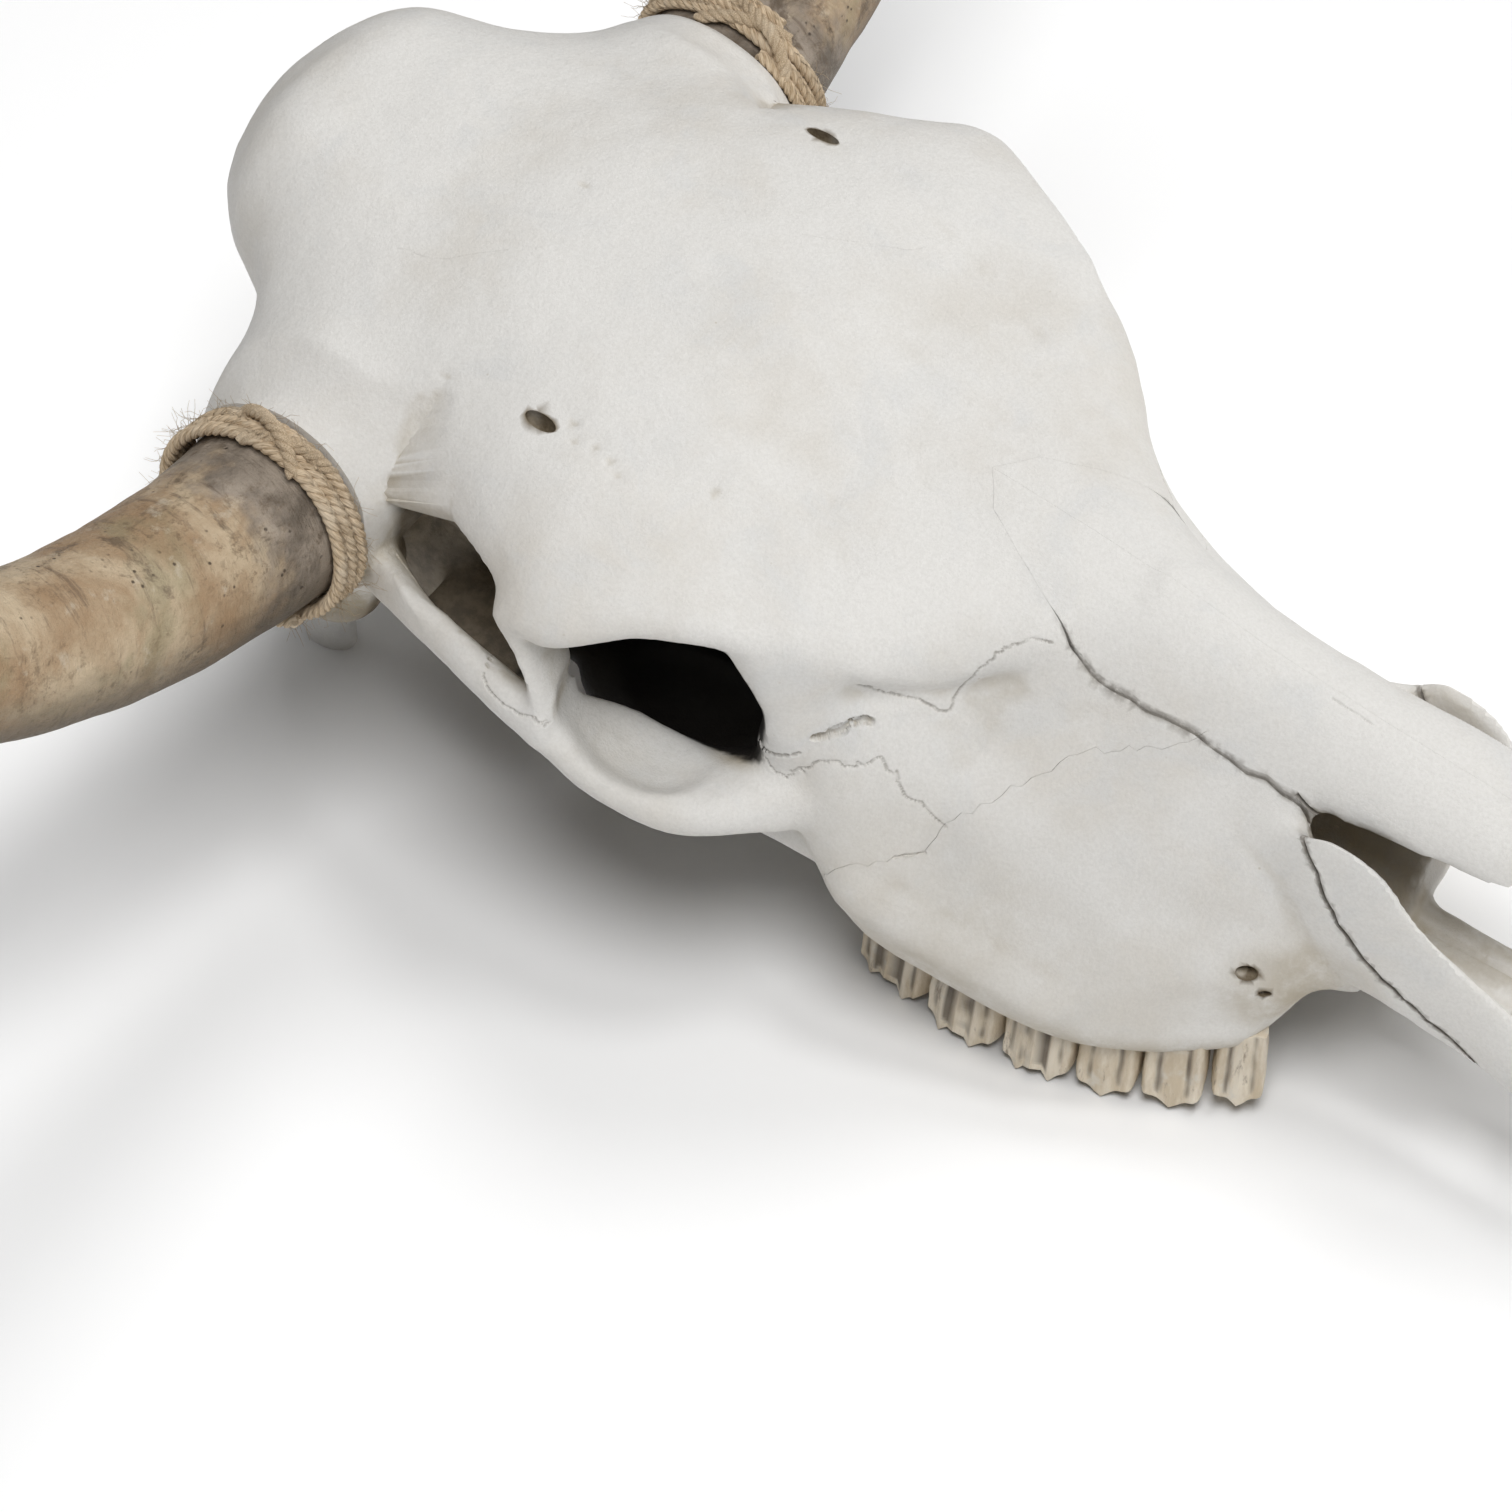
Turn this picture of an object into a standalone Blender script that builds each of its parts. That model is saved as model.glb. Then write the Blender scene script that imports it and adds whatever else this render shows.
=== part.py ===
"""Skull of a horned cow without its lower jaw, at life size, lying on its cheek teeth.

X points to the animal's left, -Y to its muzzle and +Z up. The origin is under the middle of
the skull, on the floor. Lengths are millimetres, and MM turns them into metres where a mesh
is made. The skull is modelled whole, as overlapping closed forms that one remesh welds
together, and is then parted along its main sutures with thin cuts.
"""
import bpy
import bmesh
import math
from mathutils import Matrix, Vector

MM = 0.001

# ---- driving sizes, in millimetres -------------------------------------------------------
FLOOR_Z = 0.0
ORIGIN_Y = 27.0         # where the middle of the box lies, from the point the sizes count from
VOXEL = 3.0             # size of the weld's cells
BONE_TRIANGLES = 4130   # what the welded skull is thinned to
GAP = 0.3               # clear space between neighbouring solids
CRUMB_VOLUME = 60       # cubic millimetres below which a cut-off scrap is dropped
SUTURE_OPEN = 2.2       # the dried-out seam beside each nasal bone

# Roof of the skull: pairs of (y, size) from the poll to the root of the nose.
ROOF_TOP = ((284, 180), (268, 193), (240, 191), (205, 187), (172, 185), (109, 177), (67, 164),
            (25, 155), (0, 151), (-25, 145))
ROOF_HALF = ((284, 33), (268, 50), (250, 61), (235, 80), (205, 92), (168, 91), (132, 107),
             (110, 120), (85, 105), (62, 92), (40, 80), (25, 65), (8, 44), (-25, 24))
ROOF_EDGE = ((284, 156), (268, 156), (235, 146), (205, 148), (168, 153), (132, 154), (108, 149),
             (85, 154), (62, 152), (40, 144), (25, 136), (-25, 126))
ROOF_THICK = ((284, 14), (235, 30), (205, 44), (166, 20), (108, 11), (62, 12), (-25, 18))
ROOF_POWER = 2.2

# Face: from the front of the orbits to the front of the cheek teeth.
FACE_TOP = ((62, 160), (25, 154), (5, 151), (-30, 144), (-60, 137), (-80, 132), (-88, 121),
            (-96, 104), (-106, 86))
FACE_HALF = ((62, 80), (50, 82), (40, 86), (25, 88), (5, 85), (-31, 76), (-47, 71), (-60, 64),
             (-81, 50), (-95, 40), (-106, 34))
FACE_WIDEST = ((62, 98), (50, 88), (40, 75), (25, 61), (5, 52), (-31, 36), (-60, 34), (-81, 42),
               (-95, 56), (-106, 62))
FACE_BASE = ((62, 84), (50, 64), (40, 42), (32, 25), (20, 18), (-81, 18), (-90, 32), (-98, 50),
             (-106, 54))
FACE_BASE_POWER = ((62, 2.0), (40, 2.1), (20, 2.4), (-31, 3.4))
FACE_POWER = ((62, 3.2), (40, 2.6), (20, 1.65), (5, 1.42), (-31, 1.38), (-60, 1.42),
              (-81, 1.6), (-106, 1.9))

# Nasal bones, as an arched shell from the root of the nose to its free tip.
NASAL_TOP = ((-10, 151), (-47, 141), (-81, 134), (-117, 128), (-150, 122), (-166, 118))
NASAL_HALF = ((-10, 27.5), (-47, 25.5), (-81, 25.5), (-117, 22.5), (-150, 20), (-166, 16))
NASAL_DROP = ((-10, 20), (-47, 23), (-81, 22), (-117, 15), (-150, 11), (-166, 7))
NASAL_WALL = 4.5
NASAL_POWER = ((-30, 1.8), (-90, 1.9), (-120, 2.4), (-166, 2.6))

# Cheek teeth of one side, front to back: (length along the row, width across it).
TEETH = ((15, 15), (18, 18), (18, 19), (22, 22), (25, 23), (27, 21))
TOOTH_ROW_FRONT = -90
TOOTH_ROW_X = ((-90, 40), (-70, 50), (-45, 58), (-15, 62), (10, 60), (36, 55))
TOOTH_ROOT_Z = 26
TOOTH_TIP_Z = ((-90, 6), (-60, 1), (36, 0))

# Sutures: plan of the nasal bones, and side views (y, z) of the cuts across the face.
NASAL_SEAM = ((24.6, -112), (25.2, -81), (25.5, -47), (28, -22), (29.3, -8))
NASAL_ROOT = ((26.5, 1), (22, 11), (12, 29))
NASAL_APEX = 37
NASAL_UNDERSIDE = (-81, 109, 0.14)   # y, height there and slope of the cut under the bones
FACE_SEAM = ((-46, 120), (-19, 109), (6, 90), (9, 81), (28, 74), (40, 58), (44, 40), (46, -8))
MUZZLE_SEAM = ((-79, 117), (-88, 111), (-95, 101), (-102, 89), (-111, 79), (-128, 67),
               (-148, 56), (-156, 40))
NASAL_NOTCH = ((6, -175), (13, -175), (10, -149))   # splits the free tip of each nasal bone

# Horns: 1 is the left one and -1 the right one, which sits and starts lower.
HORN_BASE_X = 105
HORN_BASE_Y = {1: 203, -1: 210}
HORN_BASE_Z = {1: 137, -1: 131.5}
HORN_LENGTH = 328
HORN_BASE_RADIUS = 28.5
HORN_TIP_RADIUS = 3.0
HORN_RISE_START = {1: 12, -1: 8}     # degrees above level at the base
HORN_RISE_END = 64                   # and at the tip
HORN_SWEEP = 16         # degrees backwards at the tip
HORN_STEPS = 14
ROUND_SIDES = 18

ROPE_RADIUS = 2.3
ROPE_TURNS = 3
ROPE_START = 0.5        # from the horn's base, along it
ROPE_PRESS = 0.2        # share of the radius that a turn is flattened by, against the horn


# ---- small tools -------------------------------------------------------------------------
def value_at(knots, t):
    """Smooth value through (position, value) knots, in either order."""
    pts = sorted(knots)
    if t <= pts[0][0]:
        return pts[0][1]
    if t >= pts[-1][0]:
        return pts[-1][1]
    i = max(k for k in range(len(pts) - 1) if pts[k][0] <= t)

    def slope(k):
        lo = max(k - 1, 0)
        hi = min(k + 1, len(pts) - 1)
        return (pts[hi][1] - pts[lo][1]) / (pts[hi][0] - pts[lo][0])

    x0, y0 = pts[i]
    x1, y1 = pts[i + 1]
    h = x1 - x0
    s = (t - x0) / h
    s2 = s * s
    s3 = s2 * s
    return ((2 * s3 - 3 * s2 + 1) * y0 + (s3 - 2 * s2 + s) * h * slope(i)
            + (3 * s2 - 2 * s3) * y1 + (s3 - s2) * h * slope(i + 1))


def path_points(points, count):
    """Evenly parametrised points on a smooth curve through the given ones."""
    knots = [[(i, p[axis]) for i, p in enumerate(points)] for axis in range(3)]
    last = len(points) - 1
    return [Vector([value_at(k, last * i / (count - 1)) for k in knots]) for i in range(count)]


def new_object(name, bm):
    mesh = bpy.data.meshes.new(name)
    bmesh.ops.recalc_face_normals(bm, faces=bm.faces[:])
    bm.to_mesh(mesh)
    bm.free()
    obj = bpy.data.objects.new(name, mesh)
    bpy.context.scene.collection.objects.link(obj)
    return obj


def add_rings(bm, rings):
    """Skin a row of closed rings of points and close both ends."""
    made = [[bm.verts.new(Vector(p) * MM) for p in ring] for ring in rings]
    for a, b in zip(made, made[1:]):
        n = len(a)
        for i in range(n):
            j = (i + 1) % n
            bm.faces.new((a[i], a[j], b[j], b[i]))
    for ring in (made[0], made[-1]):
        centre = bm.verts.new(sum((v.co for v in ring), Vector()) / len(ring))
        for i, v in enumerate(ring):
            bm.faces.new((v, ring[(i + 1) % len(ring)], centre))


def add_ball(bm, centre, radii, turn=(0, 0, 0)):
    spin = Matrix.Rotation(math.radians(turn[2]), 4, "Z")
    spin @= Matrix.Rotation(math.radians(turn[1]), 4, "Y")
    spin @= Matrix.Rotation(math.radians(turn[0]), 4, "X")
    place = Matrix.Translation(Vector(centre) * MM) @ spin
    place @= Matrix.Diagonal((*[r * MM for r in radii], 1))
    bmesh.ops.create_uvsphere(bm, u_segments=24, v_segments=16, radius=1, matrix=place)


def add_limb(bm, points, widths, heights, side=(1, 0, 0), count=18, sides=16):
    """Elliptical bar through points; widths lie along the side vector, heights across it."""
    line = path_points(points, count)
    span = len(points) - 1
    rings = []
    for i, p in enumerate(line):
        ahead = (line[min(i + 1, count - 1)] - line[max(i - 1, 0)]).normalized()
        across = Vector(side)
        across = (across - ahead * across.dot(ahead)).normalized()
        other = ahead.cross(across)
        t = span * i / (count - 1)
        w = value_at(list(enumerate(widths)), t)
        h = value_at(list(enumerate(heights)), t)
        ring = []
        for k in range(sides):
            a = 2 * math.pi * k / sides
            ring.append(p + across * (w * math.cos(a)) + other * (h * math.sin(a)))
        rings.append(ring)
    add_rings(bm, rings)


def both_sides(make, *args, **kwargs):
    """Call a maker for the animal's left and for its right."""
    for side in (1, -1):
        make(side, *args, **kwargs)


def rounded(angle, half, rise, power):
    c = math.cos(angle)
    s = math.sin(angle)
    x = math.copysign(abs(c) ** (2 / power), c) * half
    z = math.copysign(abs(s) ** (2 / power), s) * rise
    return x, z


# ---- forms of the skull ------------------------------------------------------------------
def add_body(bm, y_from, y_to, steps, sizes):
    """Loft with a crowned top and a shallower underside; sizes(y) gives its measures."""
    rings = []
    sides = 48
    for i in range(steps + 1):
        y = y_from + (y_to - y_from) * i / steps
        half, widest, top, base, power, base_power = sizes(y)
        ring = []
        for k in range(sides):
            a = 2 * math.pi * k / sides
            if math.sin(a) >= 0:
                x, z = rounded(a, half, top - widest, power)
            else:
                x, z = rounded(a, half, widest - base, base_power)
            ring.append((x, y, widest + z))
        rings.append(ring)
    add_rings(bm, rings)


def roof_sizes(y):
    edge = value_at(ROOF_EDGE, y)
    base = edge - value_at(ROOF_THICK, y)
    return value_at(ROOF_HALF, y), edge, value_at(ROOF_TOP, y), base, ROOF_POWER, 2.6


def face_sizes(y):
    return (value_at(FACE_HALF, y), value_at(FACE_WIDEST, y), value_at(FACE_TOP, y),
            value_at(FACE_BASE, y), value_at(FACE_POWER, y), value_at(FACE_BASE_POWER, y))


def add_nasal_arch(bm):
    """Both nasal bones as one arched shell, open below."""
    rings = []
    for i in range(19):
        y = -20 - 146 * i / 18
        top = value_at(NASAL_TOP, y)
        half = value_at(NASAL_HALF, y)
        drop = value_at(NASAL_DROP, y)
        power = value_at(NASAL_POWER, y)
        outer = []
        inner = []
        for k in range(17):
            a = math.pi * k / 16
            x, z = rounded(a, half, drop, power)
            outer.append((x, y, top - drop + z))
            x, z = rounded(a, half - NASAL_WALL, drop - NASAL_WALL, power)
            inner.append((x, y, top - drop + z))
        rings.append(outer + inner[::-1])
    add_rings(bm, rings)


def add_braincase(bm):
    add_ball(bm, (0, 168, 108), (60, 102, 50))
    add_ball(bm, (0, 226, 105), (97, 34, 60))
    add_ball(bm, (5, 259, 159), (55, 33, 34))
    add_limb(bm, ((0, 30, 112), (0, 80, 112), (0, 130, 112)), (46, 40, 50), (42, 40, 40))
    add_limb(bm, ((0, 262, 62), (0, 215, 60), (0, 130, 68), (0, 50, 78)), (22, 30, 24, 30),
             (12, 13, 14, 22))


def add_back_of_skull(side, bm):
    add_ball(bm, (side * 30, 262, 68), (17, 18, 24), (0, side * -22, 0))
    add_ball(bm, (side * 86, 203, 101), (18, 20, 17))
    add_ball(bm, (side * 49, 196, 62), (10, 18, 23))
    add_limb(bm, ((side * 68, 228, 82), (side * 60, 242, 50), (side * 53, 246, 22),
                  (side * 50, 246, -6)), (13, 9, 7, 6), (20, 17, 13, 9))
    add_limb(bm, ((side * 27, 52, 62), (side * 25, 85, 56), (side * 24, 122, 66)), (5, 4.5, 6),
             (26, 24, 14))
    base = HORN_BASE_Y[side]
    add_limb(bm, ((side * 48, base + 6, 148), (side * 74, base + 1, 140), (side * 94, base, 136),
                  (side * (HORN_BASE_X + 8), base, HORN_BASE_Z[side])), (28, 39, 37, 29),
             (30, 41, 37, 29), (0, 1, 0))


def add_cheek(side, bm):
    """Zygomatic arch, outer rim of the orbit and the bar behind the orbit."""
    add_limb(bm, ((side * 82, 200, 102), (side * 103, 170, 117), (side * 112, 140, 116),
                  (side * 115, 108, 107)), (12, 5.5, 5, 6.5), (12, 9, 8, 8))
    add_limb(bm, ((side * 110, 116, 106), (side * 102, 95, 93), (side * 95.5, 74, 86),
                  (side * 83, 56, 86), (side * 70, 36, 88)), (10, 18, 19, 15, 10),
             (7, 9, 10, 11, 14), (side, 0, 0.3))
    add_limb(bm, ((side * 85, 61, 149), (side * 85, 57, 133), (side * 82, 52, 114),
                  (side * 79, 53, 98)), (6, 6, 6, 7), (9, 9, 9, 9))
    add_limb(bm, ((side * 58, 40, 66), (side * 62, 70, 60), (side * 64, 100, 60),
                  (side * 56, 132, 68)), (24, 19, 20, 12), (22, 9, 7, 8))
    add_limb(bm, ((side * 108, 122, 150), (side * 109, 114, 130), (side * 107, 110, 108)),
             (10, 10, 11), (6, 3.5, 6))


def add_premaxilla(side, bm):
    add_limb(bm, ((side * 33, -68, 74), (side * 32.5, -84, 83), (side * 33.5, -97, 87),
                  (side * 32.5, -114, 80),
                  (side * 31, -134, 71), (side * 31, -154, 64), (side * 33, -190, 50),
                  (side * 32, -222, 44), (side * 24, -236, 42)),
             (3, 3.5, 3.8, 3.8, 4.2, 5, 8, 11, 7), (22, 28, 31, 22, 17, 13, 7, 5.5, 4.5), count=30)
    add_limb(bm, ((side * 6, -95, 52), (side * 5.5, -150, 49), (side * 10, -200, 43),
                  (side * 24, -230, 42)), (7, 6, 6.5, 9), (4.5, 4.5, 4, 4.5))


def palate_floor(bm):
    add_limb(bm, ((0, -40, 46), (0, -80, 50), (0, -109, 52)), (40, 38, 30),
             (8, 6, 4.5))


def whole_skull():
    bm = bmesh.new()
    add_body(bm, 284, -25, 52, roof_sizes)
    add_body(bm, 62, -106, 42, face_sizes)
    add_nasal_arch(bm)
    add_braincase(bm)
    both_sides(add_back_of_skull, bm)
    both_sides(add_cheek, bm)
    both_sides(add_premaxilla, bm)
    palate_floor(bm)
    return new_object("skull", bm)


# ---- hollows -----------------------------------------------------------------------------
def hollow_forms():
    """Everything that is cut out of the welded skull."""
    bm = bmesh.new()
    add_limb(bm, ((0, -38, 92), (0, -66, 92), (0, -100, 90), (0, -140, 92), (0, -178, 92)),
             (14, 25, 27, 30, 34), (12, 30, 31, 30, 30))
    add_ball(bm, (0, 272, 88), (19, 30, 16))
    add_limb(bm, ((0, 62, 50), (0, 0, 24), (0, -60, 22), (0, -88, 20)), (34, 44, 38, 26),
             (20, 17, 18, 20))
    for side in (1, -1):
        add_ball(bm, (side * 96, 82, 117), (30, 27, 25), (0, 0, side * 12))
        add_ball(bm, (side * 60, 97, 98), (25, 38, 34))
    return new_object("hollows", bm)


def apply_modifiers(obj):
    depsgraph = bpy.context.evaluated_depsgraph_get()
    mesh = bpy.data.meshes.new_from_object(obj.evaluated_get(depsgraph))
    obj.modifiers.clear()
    obj.data = mesh
    return obj


def weld(obj, cell, smoothing):
    """Fuse overlapping forms into one skin and soften the joins."""
    remesh = obj.modifiers.new("weld", "REMESH")
    remesh.mode = "VOXEL"
    remesh.voxel_size = cell * MM
    smooth = obj.modifiers.new("smooth", "SMOOTH")
    smooth.factor = 0.5
    smooth.iterations = smoothing
    return apply_modifiers(obj)


def thin_out(obj, triangles):
    obj.data.calc_loop_triangles()
    mod = obj.modifiers.new("thin", "DECIMATE")
    mod.ratio = triangles / len(obj.data.loop_triangles)
    return apply_modifiers(obj)


def combine(obj, tool, operation="DIFFERENCE", solver="EXACT"):
    """Boolean with a closed tool, which is used up."""
    mod = obj.modifiers.new("combine", "BOOLEAN")
    mod.object = tool
    mod.operation = operation
    mod.solver = solver
    apply_modifiers(obj)
    bpy.data.objects.remove(tool)
    return obj


# ---- cuts that part the bones ------------------------------------------------------------
def prism(name, outline, low, high, place):
    """Closed solid over an outline; place(point, level) puts a corner into space."""
    bm = bmesh.new()
    rings = []
    for level in (low, high):
        rings.append([bm.verts.new(Vector(place(p, level)) * MM) for p in outline])
    n = len(outline)
    for i in range(n):
        j = (i + 1) % n
        bm.faces.new((rings[0][i], rings[0][j], rings[1][j], rings[1][i]))
    bm.faces.new(rings[0])
    bm.faces.new(rings[1][::-1])
    bmesh.ops.triangulate(bm, faces=bm.faces[:])
    return new_object(name, bm)


def strip(line, thickness):
    """Outline of a thin strip that follows a line in a plane."""
    left = []
    right = []
    for i, p in enumerate(line):
        a = line[max(i - 1, 0)]
        b = line[min(i + 1, len(line) - 1)]
        length = math.hypot(b[0] - a[0], b[1] - a[1])
        nx = -(b[1] - a[1]) / length * thickness / 2
        ny = (b[0] - a[0]) / length * thickness / 2
        left.append((p[0] + nx, p[1] + ny))
        right.append((p[0] - nx, p[1] - ny))
    return left + right[::-1]


def nasal_floor(y):
    """Height of the cut under the nasal bones."""
    y0, z0, slope = NASAL_UNDERSIDE
    return z0 + slope * (y - y0)


def nasal_block(grow_side, grow_end, floor_shift, top):
    """Solid round both nasal bones, as wide as their outer seams."""
    half = [(x + grow_side, y) for x, y in NASAL_SEAM]
    rear = [(x * (1 + grow_end / 20), y + grow_end) for x, y in NASAL_ROOT]
    right = half + rear
    outline = right + [(0, NASAL_APEX + grow_end)] + [(-x, y) for x, y in right[::-1]]

    def place(p, level):
        z = top if level else nasal_floor(p[1]) + floor_shift
        return p[0], p[1], z

    return prism("nasal_block", outline, 0, 1, place)


def side_view(p, x):
    return x, p[0], p[1]


def plan_view(p, z):
    return p[0], p[1], z


def part_bones(skull):
    """Cut along the main sutures."""
    trough = nasal_block(SUTURE_OPEN / 2, GAP / 2, -GAP, 210)
    combine(trough, nasal_block(-SUTURE_OPEN / 2, -GAP / 2, 0, 220))
    combine(skull, trough)
    rear = NASAL_APEX
    between = [(-175, 100), (-175, 210), (rear, 210), (rear, nasal_floor(rear) - GAP / 2),
               (-90, nasal_floor(-90) - GAP / 2), (-90, 100)]
    combine(skull, prism("between_nasals", between, -GAP / 2, GAP / 2, side_view))
    combine(skull, prism("face_seam", strip(FACE_SEAM, GAP), -140, 140, side_view))
    for side in (1, -1):
        upper = strip(((-56, 128), (FACE_SEAM[0][0] + 1, FACE_SEAM[0][1] - 0.5)), GAP)
        combine(skull, prism("face_seam_top", upper, side * 25, side * 140, side_view))
        notch = [(side * x, y) for x, y in NASAL_NOTCH]
        combine(skull, prism("nasal_notch", notch, 95, 145, plan_view))
    combine(skull, prism("muzzle_seam", strip(MUZZLE_SEAM, GAP), -70, 70, side_view))
    lower = [(-250, -8), (-250, 66), (-66, 68)] + list(FACE_SEAM[-2:])
    combine(skull, prism("mid_palate", lower, -GAP / 2, GAP / 2, side_view))
    upper = [(-66, 67), (-66, 111), FACE_SEAM[0], (6, 104), (30, 84), (44, 60), FACE_SEAM[-2]]
    combine(skull, prism("mid_face", upper, -GAP * 0.6, GAP * 0.6, side_view))
    return skull


def loose_parts(obj):
    """Split an object into its closed bodies, as lists of vertex numbers."""
    bm = bmesh.new()
    bm.from_mesh(obj.data)
    bm.verts.ensure_lookup_table()
    seen = set()
    parts = []
    for seed in bm.verts:
        if seed.index in seen:
            continue
        stack = [seed]
        seen.add(seed.index)
        part = []
        while stack:
            v = stack.pop()
            part.append(v.index)
            for e in v.link_edges:
                w = e.other_vert(v)
                if w.index not in seen:
                    seen.add(w.index)
                    stack.append(w)
        parts.append(part)
    bm.free()
    return parts


def extract(obj, part, name):
    """New object of some of an object's vertices, and its volume in cubic metres."""
    keep = set(part)
    bm = bmesh.new()
    bm.from_mesh(obj.data)
    bmesh.ops.delete(bm, geom=[v for v in bm.verts if v.index not in keep], context="VERTS")
    bmesh.ops.triangulate(bm, faces=bm.faces[:])
    volume = bm.calc_volume(signed=True)
    made = new_object(name, bm)
    return made, volume


def keep_largest(obj, name):
    """Keep the largest body alone, without the closed voids that a remesh leaves."""
    made = extract(obj, max(loose_parts(obj), key=len), name)[0]
    bpy.data.objects.remove(obj)
    return made


# ---- teeth -------------------------------------------------------------------------------
def add_tooth(bm, side, front, length, width):
    """One cheek tooth: two lobes, broad at the root and flat at the tip."""
    y = front + length / 2
    x = value_at(TOOTH_ROW_X, y)
    lean = math.atan((value_at(TOOTH_ROW_X, y + 6) - value_at(TOOTH_ROW_X, y - 6)) / 12)
    tip = value_at(TOOTH_TIP_Z, y)
    half = length / 2 + 0.3
    outline = []
    for u, v in ((-1, -0.75), (-0.5, -1), (0.5, -1), (1, -0.75), (1, 0.72), (0.5, 1), (0, 0.8),
                 (-0.5, 1), (-1, 0.72)):
        outline.append((u * half, v * width / 2))
    rings = []
    for z, grow, out in ((TOOTH_ROOT_Z, 0.9, -3), (tip + 6, 1.0, 0), (tip, 0.93, 2)):
        ring = []
        for u, v in outline:
            v = v * grow + out
            px = x + v * math.cos(lean) + u * math.sin(lean)
            py = y + u * math.cos(lean) - v * math.sin(lean)
            ring.append((side * px, py, z))
        rings.append(ring)
    add_rings(bm, rings)


def add_tooth_row(skull, side):
    front = TOOTH_ROW_FRONT
    for length, width in TEETH:
        bm = bmesh.new()
        add_tooth(bm, side, front, length, width)
        combine(skull, new_object("tooth", bm), "UNION", "MANIFOLD")
        front += length


# ---- horns and their bindings ------------------------------------------------------------
def horn_line(side):
    """Points of the horn's centre line and its direction at each."""
    points = []
    p = Vector((side * HORN_BASE_X, HORN_BASE_Y[side], HORN_BASE_Z[side]))
    start = HORN_RISE_START[side]
    step = HORN_LENGTH / HORN_STEPS
    for i in range(HORN_STEPS + 1):
        t = i / HORN_STEPS
        rise = math.radians(start + (HORN_RISE_END - start) * t ** 0.9)
        sweep = math.radians(HORN_SWEEP * t)
        ahead = Vector((side * math.cos(rise) * math.cos(sweep), math.cos(rise) * math.sin(sweep),
                        math.sin(rise)))
        points.append((p.copy(), ahead))
        p = p + ahead * step
    return points


def horn_radius(t):
    return HORN_TIP_RADIUS + (HORN_BASE_RADIUS - HORN_TIP_RADIUS) * (1 - t) ** 0.55


def ring_round(p, ahead, radius, sides=ROUND_SIDES):
    across = Vector((0, 1, 0))
    across = (across - ahead * across.dot(ahead)).normalized()
    other = ahead.cross(across)
    ring = []
    for k in range(sides):
        a = 2 * math.pi * k / sides
        ring.append(p + (across * math.cos(a) + other * math.sin(a)) * radius)
    return ring


def make_horn(side, name):
    bm = bmesh.new()
    rings = []
    for i, (p, ahead) in enumerate(horn_line(side)):
        start = p + ahead * (GAP if i == 0 else 0)
        rings.append(ring_round(start, ahead, horn_radius(i / HORN_STEPS)))
    add_rings(bm, rings)
    return new_object(name, bm)


def horn_seat(side):
    """Tool that trims the skull flat where a horn starts."""
    bm = bmesh.new()
    p, ahead = horn_line(side)[0]
    add_rings(bm, [ring_round(p, ahead, 46), ring_round(p + ahead * 60, ahead, 46)])
    return new_object("seat", bm)


def make_rope(side, name):
    """Three turns of twine side by side, as one ring round the base of the horn."""
    bm = bmesh.new()
    p, ahead = horn_line(side)[0]
    pitch = 2 * ROPE_RADIUS
    profile = [(ROPE_START, GAP)]
    for turn in range(ROPE_TURNS):
        centre = ROPE_START + pitch * (turn + 0.5)
        for k in range(1, 5):
            a = math.pi * k / 5
            profile.append((centre - ROPE_RADIUS * math.cos(a),
                            GAP + ROPE_RADIUS * (1 - ROPE_PRESS + math.sin(a))))
    profile.append((ROPE_START + pitch * ROPE_TURNS, GAP))
    rings = [ring_round(p + ahead * s, ahead, HORN_BASE_RADIUS + GAP + lift) for s, lift in profile]
    made = [[bm.verts.new(Vector(q) * MM) for q in ring] for ring in rings]
    sides = len(made[0])
    for i in range(len(made)):
        a = made[i]
        b = made[(i + 1) % len(made)]
        for k in range(sides):
            j = (k + 1) % sides
            bm.faces.new((a[k], a[j], b[j], b[k]))
    return new_object(name, bm)


# ---- the part ----------------------------------------------------------------------------
MATERIALS = {
    "bone": ((0.74, 0.73, 0.70), 0.62),
    "bone_with_teeth": ((0.70, 0.67, 0.61), 0.6),
    "horn": ((0.30, 0.24, 0.17), 0.5),
    "twine": ((0.52, 0.39, 0.24), 0.9),
}


def give_material(obj, name, key):
    colour, roughness = MATERIALS[key]
    mat = bpy.data.materials.new(name)
    mat.use_nodes = True
    shader = mat.node_tree.nodes["Principled BSDF"]
    shader.inputs["Base Color"].default_value = (*colour, 1)
    shader.inputs["Roughness"].default_value = roughness
    shader.inputs["Metallic"].default_value = 0
    obj.data.materials.clear()
    obj.data.materials.append(mat)


def bone_name(obj):
    """Name a loose bone by where its middle lies."""
    corners = [Vector(c) / MM for c in obj.bound_box]
    middle = sum(corners, Vector()) / 8
    side = "_left" if middle.x > 0 else "_right"
    if max(c.y for c in corners) > 200:
        return "cranium"
    if min(c.z for c in corners) > 95:
        return "nasal" + side
    if max(c.y for c in corners) < -60:
        return "premaxilla" + side
    return "maxilla" + side


def separate_bones(skull):
    for part in loose_parts(skull):
        bone, volume = extract(skull, part, "bone")
        if volume < CRUMB_VOLUME * MM ** 3:
            bpy.data.objects.remove(bone)
            continue
        bone.name = bone_name(bone)
        kind = "bone_with_teeth" if bone.name.startswith("maxilla") else "bone"
        give_material(bone, bone.name, kind)
    bpy.data.objects.remove(skull)


def finish(obj):
    """Move a solid into the part's frame and shade it round with crisp edges."""
    obj.data.transform(Matrix.Translation((0, -ORIGIN_Y * MM, 0)))
    obj.data.shade_smooth()
    obj.data.set_sharp_from_angle(angle=math.radians(40))


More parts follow.
